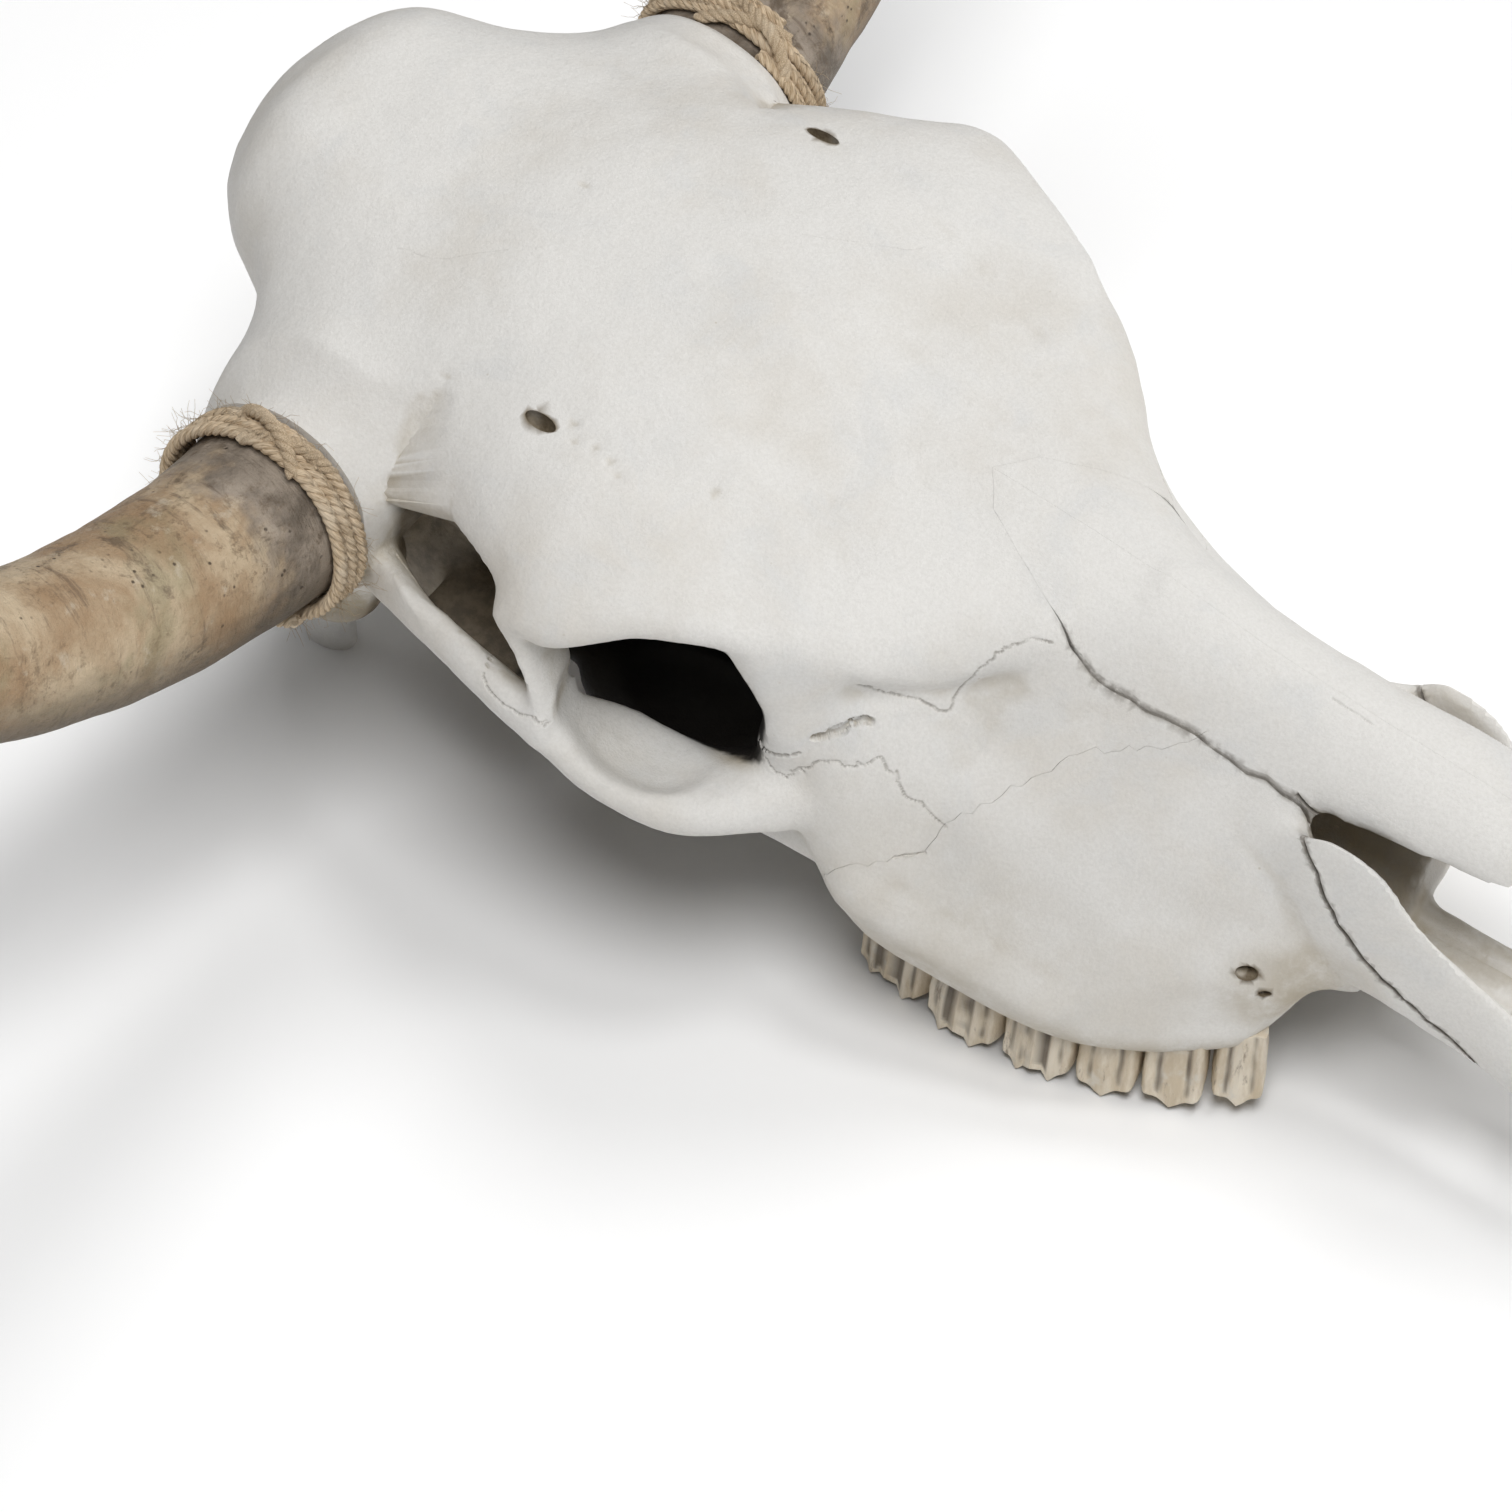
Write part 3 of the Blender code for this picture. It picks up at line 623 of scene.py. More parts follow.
def distance_to(pts, line, reach):
    """Distance from each point to a line, measured only where it may be within the reach."""
    near = ((pts > line.min(0) - reach) & (pts < line.max(0) + reach)).all(1)
    distance = np.full(len(pts), 1e3)
    chosen = np.flatnonzero(near)
    for first in range(0, len(chosen), 4000):
        block = chosen[first:first + 4000]
        gaps = pts[block][:, None] - line[None]
        distance[block] = np.sqrt((gaps ** 2).sum(2).min(1))
    return distance


def sculpt(skull):
    """Raise ridges and press hollows along strokes, then add slow unevenness all over."""
    pts = coords(skull) / MM
    outward = normals(skull)
    lift = np.zeros(len(pts))
    for line, reach, height in STROKES:
        for s in SIDES:
            path = densely(np.array(line) * (s, 1, 1))
            lift += height * smooth_step(1 - distance_to(pts, path, reach * 1.3) / (reach * 1.3))
    wave = np.array([noise.noise(Vector(p) / SLOW_WAVE) + 0.5 * noise.noise(Vector(p) / QUICK_WAVE)
                     for p in pts])
    set_coords(skull, (pts + outward * (lift + WAVE_HEIGHT * wave)[:, None]) * MM)
    return skull


# ---- sutures and cracks ------------------------------------------------------------------
# Lines on the right side of the head: points, wander step and reach, half width, depth and
# darkness. A suture is mirrored for the left side, a crack is not.
SUTURES = (
    (((69, 36, 133), (61, 28.5, 126), (56, 22, 121), (54, 17, 118), (51.6, 15.6, 119.6),
      (49, 15, 125), (46.5, 13, 131.6), (44, 10, 135), (41, 8, 137.5), (39, 5, 139),
      (35, 1.4, 140), (33, -4, 139.5)), 2.0, 0.5, 0.42, 0.35, 0.75),
    (((82, 54, 103), (87, 50, 100), (88, 47, 100), (86.5, 45.5, 101.4), (84.6, 43.4, 104),
      (82, 40, 106.5), (79, 36, 108), (76, 32, 107.4), (72, 28, 108), (70.6, 24, 104.7),
      (71, 21, 101), (71, 19, 98.4), (70, 14, 95.5), (70, 6, 89)), 1.5, 1.1, 0.40, 0.4, 0.8),
    (((96.5, 175, 122), (104, 156, 121), (111, 136, 119), (119.6, 122, 115), (119, 110, 115),
      (117, 107, 113)), 3.0, 0.8, 0.45, 0.5, 0.8),
    (((81, 56, 106), (81, 48, 111)), 3.0, 0.2, 0.7, 1.2, 1.6),
)
CRACKS = (
    (((78, 43.6, 116), (75, 39, 117), (71.5, 36.4, 119), (68.5, 33, 119)),
     1.2, 0.5, 1.3, 2.0, 3.0),
    (((76.5, 40.5, 117.8), (73.2, 36.2, 119.4), (70.3, 34, 120)), 1.0, 0.3, 0.9, 1.4, 3.0),
    (((3, -76, 134.7), (3, -89, 132.3)), 3.0, 0.2, 0.3, 0.3, 0.45),
    (((75.7, 8, 81), (80, 16, 79)), 2.0, 0.4, 0.4, 0.6, 0.9),
    (((-30, 120, 182), (-46, 96, 176), (-52, 92, 174)), 3.0, 0.3, 0.2, 0.06, 0.14),
    (((44, 210, 186), (40, 196, 187), (28, 183, 186)), 2.5, 0.6, 0.2, 0.06, 0.14),
)


def wandering(line, step, reach, seed):
    """A line in space that leaves its path to and fro, as sutures do."""
    rng = random.Random(seed)
    pts = densely(line, step)
    shift = np.array([[rng.uniform(-reach, reach) for _ in range(3)] for _ in pts])
    pts = pts + shift
    t = np.arange(len(pts))
    fine = np.linspace(0, len(pts) - 1, len(pts) * 10)
    return np.stack([np.interp(fine, t, pts[:, k]) for k in range(3)], 1)


SCOOP_EDGE = 83.5         # X of the inner edge of the eye socket's floor, at a height of 88
SCOOP_LEAN = 0.3          # how far that edge moves out for each unit of height
# Height and Y of the socket's front wall.
SOCKET_FRONT = ((60, 60), (100, 60), (113, 57), (125, 61), (137, 65), (148, 64))
# Dirt on the bone: centre, radius and amount, for both sides.
SMUDGES = (
    ((83, 124, 96), 15, 0.25), ((76, 64, 90), 10, 0.80), ((94, 205, 82), 16, 0.90),
    ((112, 96, 92), 12, 0.12), ((46, -94, 56), 13, 0.45), ((40, -104, 60), 12, 0.25),
    ((86, 8, 66), 26, 0.18), ((74, -22, 50), 22, 0.10), ((104, 176, 112), 10, 0.20),
    ((96, 196, 108), 16, 0.40),
)


class Lines:
    """All fine lines laid on the bone, with their half width, depth and darkness."""

    def __init__(self, skull):
        tree = BVHTree.FromPolygons([tuple(v.co / MM) for v in skull.data.vertices],
                                    [tuple(p.vertices) for p in skull.data.polygons])
        points = []
        looks = []
        jobs = [(item, s) for item in SUTURES for s in SIDES] + [(item, -1) for item in CRACKS]
        for seed, ((line, step, reach, half, depth, dark), s) in enumerate(jobs):
            path = wandering(np.array(line, float) * (s, 1, 1), step, reach, seed)
            rng = random.Random(seed + 50)
            for p in path:
                spot = tree.find_nearest(Vector(p))[0]
                points.append(spot)
                looks.append((half * rng.uniform(0.7, 1.2), depth, dark))
        self.looks = np.array(looks)
        self.tree = KDTree(len(points))
        for i, p in enumerate(points):
            self.tree.insert(p, i)
        self.tree.balance()
        flat = np.array([tuple(p) for p in points])
        self.low = flat.min(0) - 4
        self.high = flat.max(0) + 4

    def nearest(self, pts, reach):
        index = np.zeros(len(pts), int)
        distance = np.full(len(pts), 1e3)
        inside = ((pts > self.low) & (pts < self.high)).all(1)
        for i in np.flatnonzero(inside):
            _, k, d = self.tree.find(pts[i])
            if d < reach:
                index[i] = k
                distance[i] = d
        return index, distance


def refine(skull, lines, reach):
    """Split the faces that lie near a line."""
    middles = np.empty(len(skull.data.polygons) * 3)
    skull.data.polygons.foreach_get("center", middles)
    _, distance = lines.nearest(middles.reshape(-1, 3) / MM, reach)
    pick(skull)
    bpy.ops.object.mode_set(mode="EDIT")
    bpy.ops.mesh.select_mode(type="FACE")
    bpy.ops.mesh.select_all(action="DESELECT")
    bpy.ops.object.mode_set(mode="OBJECT")
    skull.data.polygons.foreach_set("select", distance < reach)
    bpy.ops.object.mode_set(mode="EDIT")
    bpy.ops.mesh.subdivide(number_cuts=1)
    bpy.ops.object.mode_set(mode="OBJECT")


def carve_lines(skull, lines):
    for reach in (3.0, 1.9, 1.2):
        refine(skull, lines, reach)
    pts = coords(skull) / MM
    index, distance = lines.nearest(pts, 1.5)
    half, depth, _ = lines.looks[index].T
    drop = depth * smooth_step(1.3 - distance / half / 1.3)
    set_coords(skull, (pts - normals(skull) * drop[:, None]) * MM)
    return skull


# ---- holes for nerves and vessels ---------------------------------------------------------
# Centre, radii and turn of each, on the right side of the head; mirrored for the left.
FORAMINA = (
    ((70.4, 141, 173.5), (2.4, 5.4, 5), (6, 0, 4)),
    ((47, -82, 61.2), (8, 3.2, 2.4), (0, 0, -38)),
    ((44.5, -87, 54.2), (5, 1.9, 1.2), (0, 0, -38)),
)
PITS = ((-66.3, 132.5, 176), (-70.5, 128.8, 175), (-69.5, 122.9, 174.5), (-70.4, 117.2, 173.6),
        (-72.7, 113.5, 172.8), (5.5, 179.9, 185.5), (23.2, 265.7, 183.4), (-70.5, 173.8, 174.4),
        (-59.8, 89.8, 168.4), (-43.1, -80, 75.7), (-40, 64, 163), (-30, 40, 158), (-46, 76, 168))


def pierce(skull):
    tools = []
    for centre, radii, turn in FORAMINA:
        for s in SIDES:
            place = (centre[0] * s, centre[1], centre[2])
            tools.append(ball(place, radii, (turn[0], turn[1] * s, turn[2] * s)))
    return cut(skull, join(tools, "holes"))


def press_pits(skull):
    pts = coords(skull) / MM
    drop = np.zeros(len(pts))
    for p in PITS:
        d = np.linalg.norm(pts - np.array(p), axis=1)
        drop += 1.3 * smooth_step(1 - d / 2.4)
    set_coords(skull, (pts - normals(skull) * drop[:, None]) * MM)
    return skull


# ---- where dirt and shade settle ---------------------------------------------------------
def ray_fan(count):
    """Directions spread evenly over the half space above Z."""
    i = np.arange(count) + 0.5
    z = 1 - i / count * 0.92
    a = i * 2.399963
    r = np.sqrt(1 - z * z)
    return np.stack([r * np.cos(a), r * np.sin(a), z], 1)


def closed_in(obj, tree, count, reach):
    """Share of the rays from each vertex that meet bone within the reach."""
    pts = coords(obj)
    out = normals(obj)
    helper = np.where(np.abs(out[:, 2:3]) < 0.9, (0, 0, 1), (1, 0, 0))
    side = unit(np.cross(out, helper))
    other = np.cross(out, side)
    start = pts + out * 0.4 * MM
    hits = np.zeros(len(pts))
    for fan in ray_fan(count):
        rays = side * fan[0] + other * fan[1] + out * fan[2]
        for i in range(len(pts)):
            if tree.ray_cast(start[i], rays[i], reach * MM)[0]:
                hits[i] += 1
    return hits / count


def hollowness(obj, rounds):
    """How far each vertex lies below its smoothed surroundings, in millimetres."""
    n = len(obj.data.vertices)
    a, b = edge_ends(obj)
    degree = np.bincount(a, minlength=n) + np.bincount(b, minlength=n)
    start = coords(obj) / MM
    pts = start.copy()
    for _ in range(rounds):
        pts = 0.3 * pts + 0.7 * neighbour_sums(pts, a, b) / degree[:, None]
    return ((pts - start) * normals(obj)).sum(1)


def inside_ball(pts, centre, radii, soft):
    """1 inside an ellipsoid, falling to 0 over the soft share of its size."""
    size = np.linalg.norm((pts - np.array(centre)) / np.array(radii), axis=1)
    return smooth_step((1 + soft - size) / soft)


def inside_box(pts, low, high, soft):
    gap = np.maximum(np.array(low) - pts, pts - np.array(high)).max(1)
    return smooth_step(1 - gap / soft)


def socket_shade(pts, out):
    """1 on the inner walls of the eye sockets, where black shade is painted."""
    x, y, z = pts.T
    brink = smooth_step((SCOOP_EDGE + SCOOP_LEAN * (z - 88) - x) / 1.2)
    behind_rim = np.maximum.reduce([smooth_step((y - value_at(SOCKET_FRONT, z)) / 1.5),
                                    smooth_step((out[:, 1] - 0.25) / 0.3),
                                    smooth_step((77 - x) / 3)])
    not_roof = smooth_step((0.35 - out[:, 2] + (140 - z) / 12) / 0.3)
    upper = inside_box(pts, (20, 55, 84), (103, 134, 150), 1.0)
    lower = inside_box(pts, (20, 55, 60), (84, 150, 84), 1.0)
    return np.maximum(upper, lower) * brink * behind_rim * not_roof


def paint_bone(obj, lines, tree):
    pts = coords(obj) / MM
    out = normals(obj)
    mirrored = folded(pts)
    out_mirrored = out * np.stack([np.sign(pts[:, 0]), np.ones(len(pts)), np.ones(len(pts))], 1)
    y, z = mirrored.T[1:]
    index, distance = lines.nearest(pts, 1.5)
    half, _, dark = lines.looks[index].T
    line = dark * smooth_step(1.5 - distance / half)
    plan = pts[:, :2]
    side = pts[:, 1:]
    for s in SIDES:
        own = s * pts[:, 0] > 0
        muzzle = distance_to(side, dense_line(wiggle(MUZZLE_SEAM, 4, 0.9, 31 + s), 0.5), 4)
        line = np.maximum(line, own * MUZZLE_SEAM_DARK
                          * smooth_step((MUZZLE_SEAM_WIDTH / 2 + 0.4 - muzzle) / 0.5))
    for seed, s in ((3, 1), (8, -1)):
        edge = nasal_line(seed) * (s, 1)
        nasal = distance_to(plan, dense_line(edge, 0.5), 4)
        open_part = smooth_step((2 - y) / 10)
        width = NASAL_SEAM_WIDTH / 2 * open_part + 0.3
        amount = NASAL_ROOT_DARK + NASAL_SEAM_DARK * open_part
        line = np.maximum(line, (z > 100) * amount * smooth_step((width - nasal) / 0.4))
    paint(obj, "line", line)
    # Painted black shade inside the eye sockets.
    paint(obj, "deep", socket_shade(mirrored, out_mirrored))
    # Dirt and painted shade: shade painted where rays meet bone, dust and shade in hollows, shade
    # on low faces turned down, darker towards the bottom above the teeth, less on the socket
    # floors; the smudges are dirt.
    shut = closed_in(obj, tree, 10, 90)
    hollow = smooth_step((hollowness(obj, 12) - 0.08) / 0.5)
    dirt_and_shade = 0.75 * smooth_step((shut - 0.3) / 0.6) + 0.4 * hollow
    dirt_and_shade *= 1 - 0.85 * inside_box(mirrored, (82, 40, 70), (118, 130, 112), 3)
    low = smooth_step((95 - z) / 60) * smooth_step((60 - y) / 20)
    low *= smooth_step((y + 118) / 30)
    dirt_and_shade += 0.32 * low * smooth_step((0.45 - out[:, 2]) / 0.9)
    dirt_and_shade += 0.45 * smooth_step((36 - z) / 12) * smooth_step((50 - y) / 10)
    for centre, radius, amount in SMUDGES:
        dirt_and_shade += amount * inside_ball(mirrored, centre, (radius, radius, radius), 0.8)
    paint(obj, "dirt_and_shade", np.clip(dirt_and_shade, 0, 1))
    # Brown stain that is partly painted shade: in the nose it grows where rays meet bone, in the
    # temporal fossa it is strongest low down and on faces turned away from above; the holes are
    # brown inside.
    nose = inside_ball(mirrored, (0, -110, 92), (31, 110, 34), 0.06)
    nose *= 0.5 * smooth_step((shut - 0.35) / 0.3)
    fossa = inside_box(mirrored, (36, 112, 40), (91, 212, 149), 4)
    fossa *= np.maximum(smooth_step((100 - z) / 10), smooth_step((0.55 - out[:, 2]) / 0.3))
    stain_and_shade = nose + 0.9 * fossa
    stain_and_shade += 0.5 * inside_ball(mirrored, (93, 207, 80), (15, 18, 9), 0.7)
    for centre, radii, _ in FORAMINA:
        stain_and_shade += inside_ball(mirrored, centre, radii, 0.15)
    paint(obj, "stain_and_shade", np.clip(stain_and_shade, 0, 1))


# ---- horns -------------------------------------------------------------------------------
def horn_line(s, count=HORN_STEPS):
    """Points of the horn's centre line and its direction at each."""
    points = []
    aheads = []
    p = np.array([s * HORN_BASE_X, HORN_BASE_Y[s], HORN_BASE_Z[s]], float)
    for i in range(count + 1):
        t = i / count
        rise = math.radians(HORN_RISE_START[s] + (HORN_RISE_END - HORN_RISE_START[s]) * t ** 0.9)
        sweep = math.radians(HORN_SWEEP * t)
        ahead = np.array([s * math.cos(rise) * math.cos(sweep),
                          math.cos(rise) * math.sin(sweep), math.sin(rise)])
        points.append(p)
        aheads.append(ahead)
        p = p + ahead * HORN_LENGTH / count
    return np.array(points), np.array(aheads)


def round_axes(ahead):
    """Two directions square to a horn's direction: the first lies along Y."""
    across = unit(np.array([0.0, 1.0, 0.0]) - ahead * ahead[1])
    return across, np.cross(ahead, across)


def circle_round(p, ahead, radius, sides):
    """Ring of points round a direction; the radius may be one number for each point."""
    across, other = round_axes(ahead)
    a = np.linspace(0, 2 * np.pi, sides, endpoint=False)
    radius = np.broadcast_to(radius, sides)
    return p + (across * np.cos(a)[:, None] + other * np.sin(a)[:, None]) * radius[:, None]


def horn_radius(t):
    return HORN_TIP_RADIUS + (HORN_BASE_RADIUS - HORN_TIP_RADIUS) * (1 - t) ** 0.55


def horn_skin_loss(s, t, a):
    """How far the horn's worn skin lies inside its full round, in millimetres."""
    along_mm = t * HORN_LENGTH
    x = 3.0 * math.cos(a)
    y = 3.0 * math.sin(a)
    rings = math.sin(along_mm / 4.6 + 1.3 * noise.noise(Vector((along_mm / 14, x * 0.2, s * 5.0))))
    broad = noise.noise(Vector((x * 0.5, y * 0.5, along_mm / 45 + s * 3)))
    flakes = noise.noise(Vector((x * 2.4, y * 2.4, along_mm / 7 + s * 9)))
    fade = (1 - t) ** 1.5
    start = smooth_step(np.array(along_mm / 30))
    loss = 0.15 + (0.6 + 0.24 * rings * fade + 0.9 * broad * fade + 0.35 * flakes * fade) * start
    loss += 0.12 * flakes * (1 - start)
    return max(loss, 0.02) * (0.3 + 0.7 * (1 - t))


def horn(s):
    rows = 330
    sides = 128
    points, aheads = horn_line(s)
    t = np.linspace(0, 1, rows)
    centre = path_points(points, rows)
    ahead = unit(path_points(aheads, rows))
    angles = np.linspace(0, 2 * np.pi, sides, endpoint=False)
    rings = []
    for i in range(rows):
        loss = np.array([horn_skin_loss(s, t[i], a) for a in angles])
        start = centre[i] + ahead[i] * (SEAM_GAP if i == 0 else 0)
        rings.append(circle_round(start, ahead[i], horn_radius(t[i]) - loss, sides))
    tip = centre[-1] + ahead[-1] * 0.6
    rings.append(circle_round(tip, ahead[-1], HORN_TIP_RADIUS * 0.55, sides))
    made = rolled("horn_sheath_" + WORD[s], rings)
    # Painted shade: the skin darkens where it faces down.
    paint(made, "underside_shade", smooth_step((0.38 - normals(made)[:, 2]) / 0.95))
    return made


# ---- twine -------------------------------------------------------------------------------
def tube(line, radius, sides, name):
    """Round tube along points, with closed ends; the radius may vary along it."""
    line = np.asarray(line, float)
    ahead = unit(np.gradient(line, axis=0))
    side = np.cross(ahead[0], (0.3, 0.2, 0.9))
    rings = []
    a = np.linspace(0, 2 * np.pi, sides, endpoint=False)
    radius = np.broadcast_to(radius, len(line))
    for p, d, r in zip(line, ahead, radius):
        side = unit(side - d * (side @ d))
        other = np.cross(d, side)
        rings.append(p + (side * np.cos(a)[:, None] + other * np.sin(a)[:, None]) * r)
    return rolled(name, rings)


def cord_middle(s, seed):
    """Middle line of the twine, in turns side by side round the horn."""
    p, ahead = horn_line(s)
    p, ahead = p[0], ahead[0]
    rng = random.Random(seed)
    count = 260 * TWINE_TURNS
    radius = HORN_BASE_RADIUS + SEAM_GAP + TWINE_RADIUS * 0.98
    phase = [rng.uniform(0, 6.28) for _ in range(4)]
    across, other = round_axes(ahead)
    line = []
    for i in range(count + 1):
        turn = i / count * TWINE_TURNS
        a = 2 * math.pi * turn + TWINE_START
        wander = 0.22 * math.sin(2.3 * a + phase[0]) + 0.15 * math.sin(5.1 * a + phase[1])
        level = TWINE_RADIUS * (0.95 + 2 * turn * TWINE_LEAN) + wander
        lift = 0.12 * (1 + math.sin(3.7 * a + phase[2]))
        line.append(p + ahead * level
                    + (across * math.cos(a) + other * math.sin(a)) * (radius + lift))
    return np.array(line), p, ahead


def plies(middle, out, s):
    """Three plies laid round the middle line of a cord."""
    ahead = unit(np.gradient(middle, axis=0))
    out = unit(out - ahead * (out * ahead).sum(1)[:, None])
    other = np.cross(ahead, out)
    run = np.concatenate([[0], np.cumsum(np.linalg.norm(np.diff(middle, axis=0), axis=1))])
    made = []
    for k in range(3):
        a = 2 * np.pi * (run / TWINE_LAY + k / 3) * s
        lift = (out * np.cos(a)[:, None] + other * np.sin(a)[:, None]) * PLY_LIFT
        made.append(tube(middle + lift, PLY_RADIUS, 9, "ply"))
    return made


def fibres(middle, out, count, seed):
    """Loose hairs that stand off the twine."""
    rng = random.Random(seed)
    made = []
    for _ in range(count):
        i = rng.randrange(10, len(middle) - 10)
        start = middle[i] + out[i] * TWINE_RADIUS * 0.7
        along_cord = unit(middle[i + 5] - middle[i - 5]) * rng.choice((-1, 1))
        length = rng.uniform(2.5, 12)
        bend = np.array([rng.uniform(-1, 1) for _ in range(3)])
        line = []
        for k in range(6):
            t = k / 5
            rise = rng.uniform(0.2, 0.6) * length * t * t
            line.append(start + along_cord * length * t + out[i] * rise
                        + bend * length * 0.25 * t * t)
        made.append(tube(line, np.linspace(0.11, 0.05, 6), 3, "fibre"))
    return made


def binding(s):
    middle, p, ahead = cord_middle(s, 11 + s)
    out = unit(middle - p - ahead * ((middle - p) @ ahead)[:, None])
    pieces = plies(middle, out, s)
    pieces += knot(s, p, ahead)
    rope = join(pieces, "twine_" + WORD[s])
    hairs = join(fibres(middle, out, HAIR_COUNT, 5 + s), "twine_hairs_" + WORD[s])
    return rope, hairs


def knot(s, p, ahead):
    """Where the end of the twine is tucked over and under the turns."""
    across, other = round_axes(ahead)
    made = []
    for lean, start, lift in ((1, s * KNOT_ANGLE, 1.5), (-1, s * KNOT_ANGLE + 0.25, 2.6)):
        line = []
        for i in range(60):
            t = i / 59
            a = start + (t - 0.5) * 0.9 * lean
            level = TWINE_RADIUS * (0.9 + 5.4 * t)
            hump = HORN_BASE_RADIUS + TWINE_RADIUS * (0.8 + lift * math.sin(math.pi * t))
            line.append(p + ahead * level + (across * math.cos(a) + other * math.sin(a)) * hump)
        line = np.array(line)
        out = unit(line - p - ahead * ((line - p) @ ahead)[:, None])
        made += plies(line, out, s)
    return made


# ---- teeth -------------------------------------------------------------------------------
def crown_outline(a, length, width, lobes, rng):
    """Half sizes along and across the row for each angle round a crown, and its cusp height."""
    u = np.cos(a)
    v = np.sin(a)
    power = 4.0
    u = np.copysign(np.abs(u) ** (2 / power), u)
    v = np.copysign(np.abs(v) ** (2 / power), v)
    outer = v > 0
    ridge = np.zeros(len(a))
    cusp = np.zeros(len(a))
    for k in range(2 * lobes + 1):
        place = -0.92 + 1.84 * k / (2 * lobes) + rng.uniform(-0.05, 0.05)
        gap = np.abs(u - place)
        height = 2.4 if k % 2 == 0 else 1.5
        ridge += np.exp(-(gap / (0.30 / lobes)) ** 2) * height * rng.uniform(0.8, 1.2)
        peak = np.clip(1 - gap / (0.92 / lobes), 0, 1)
        cusp = np.maximum(cusp, peak * (0.15 if k % 2 == 0 else 1.0) * rng.uniform(0.85, 1.05))
    across = np.where(outer, width / 2 - 2.2 + ridge, width / 2)
    if lobes > 1:
        across = across - np.where(outer, 0, 2.6 * np.exp(-(u / 0.16) ** 2))
    return u * length / 2, v * across, np.where(outer, cusp, 0.6)


def tooth(s, front, length, width, lobes, seed):
    """One cheek tooth: ridged on the cheek side, with worn cusps."""
    y = front + length / 2
    x = float(value_at(TOOTH_ROW_X, y))
    lean = math.atan(float(value_at(TOOTH_ROW_X, y + 6) - value_at(TOOTH_ROW_X, y - 6)) / 12)
    tip = float(value_at(TOOTH_TIP_Z, y))
    rng = random.Random(seed)
    sides = 96
    a = np.linspace(0, 2 * np.pi, sides, endpoint=False)
    u, v, cusp = crown_outline(a, length + TOOTH_OVERLAP, width, lobes, rng)
    rings = []
    root = TOOTH_ROOT_Z + 6
    levels = 26
    for i in range(levels + 5):
        t = min(i / levels, 1)
        inward = max(i - levels, 0) / 5
        grow = 0.90 + 0.10 * smooth_step(np.array(t * 1.6)) - 0.03 * t ** 6
        edge = tip + CUSP_DEPTH * (1 - np.clip(cusp, 0, 1)) * t ** 2
        z = root + (edge - root) * t + 3.4 * math.sin(inward * math.pi / 2)
        wear = np.array([noise.noise(Vector((p * 0.35, q * 0.35, float(t) * 4 + seed)))
                         for p, q in zip(u, v)])
        scale = grow * (1 - inward) + 0.03 * wear
        out = -3 + 4.4 * t
        px = x + (v * scale + out) * math.cos(lean) + u * scale * math.sin(lean)
        py = y + u * scale * math.cos(lean) - (v * scale + out) * math.sin(lean)
        rings.append(np.stack([s * px, py, np.maximum(z + 0.5 * wear * t, 0.05)], 1))
    return rolled("tooth_%d" % rng.randrange(999), rings)


def tooth_row(s):
    front = TOOTH_ROW_FRONT
    made = []
    for i, (length, width) in enumerate(TEETH):
        made.append(tooth(s, front, length, width, 1 if i < 3 else 2, i + 7 * s))
        front += length
    row = join(made, "teeth_" + WORD[s])
    z = coords(row)[:, 2] / MM
    # Dirt and painted shade in the valleys between the ridges, and darker towards the roots.
    valleys = smooth_step((hollowness(row, 14) - 0.03) / 0.35)
    paint(row, "dirt_and_shade", np.clip(0.8 * valleys + 0.15 * smooth_step((z - 12) / 10), 0, 1))
    return row


# ---- parting the bones -------------------------------------------------------------------
def nasal_line(seed):
    return wiggle(NASAL_SEAM + NASAL_ROOT + ((0, NASAL_APEX),), 5, 0.45, seed)


def dense_line(line, step):
    """Points a step apart along straight pieces."""
    run = np.concatenate([[0], np.cumsum(np.linalg.norm(np.diff(line, axis=0), axis=1))])
    at = np.arange(0, run[-1], step)
    return np.stack([np.interp(at, run, line[:, k]) for k in range(line.shape[1])], 1)


def nasal_edge(shift, seed):
    """Half outline round the nasal bones, moved out by half the open seam."""
    line = nasal_line(seed)
    ahead = unit(np.gradient(line, axis=0))
    out = np.stack([ahead[:, 1], -ahead[:, 0]], 1)
    open_part = smooth_step((2 - line[:, 1]) / 10)
    half = HAIR / 2 + (NASAL_SEAM_WIDTH / 2 - HAIR / 2) * open_part
    moved = line + out * (half * shift)[:, None]
    moved[-1, 0] = 0
    if shift < 0:
        moved[0, 1] -= 2        # past the front end, so that the trough stays open there
    return moved


def nasal_block(shift, drop, top):
    right = nasal_edge(shift, 3)
    left = nasal_edge(shift, 8)[::-1] * (-1, 1)
    outline = np.concatenate([right, left[1:]])
    y0, z0, slope = NASAL_UNDERSIDE

    def place(pts, level):
        floor = z0 + slope * (pts[:, 1] - y0) + drop
        return np.stack([pts[:, 0], pts[:, 1], np.where(level > 0, top, floor)], 1)

    return slab(outline, 0, 1, place)


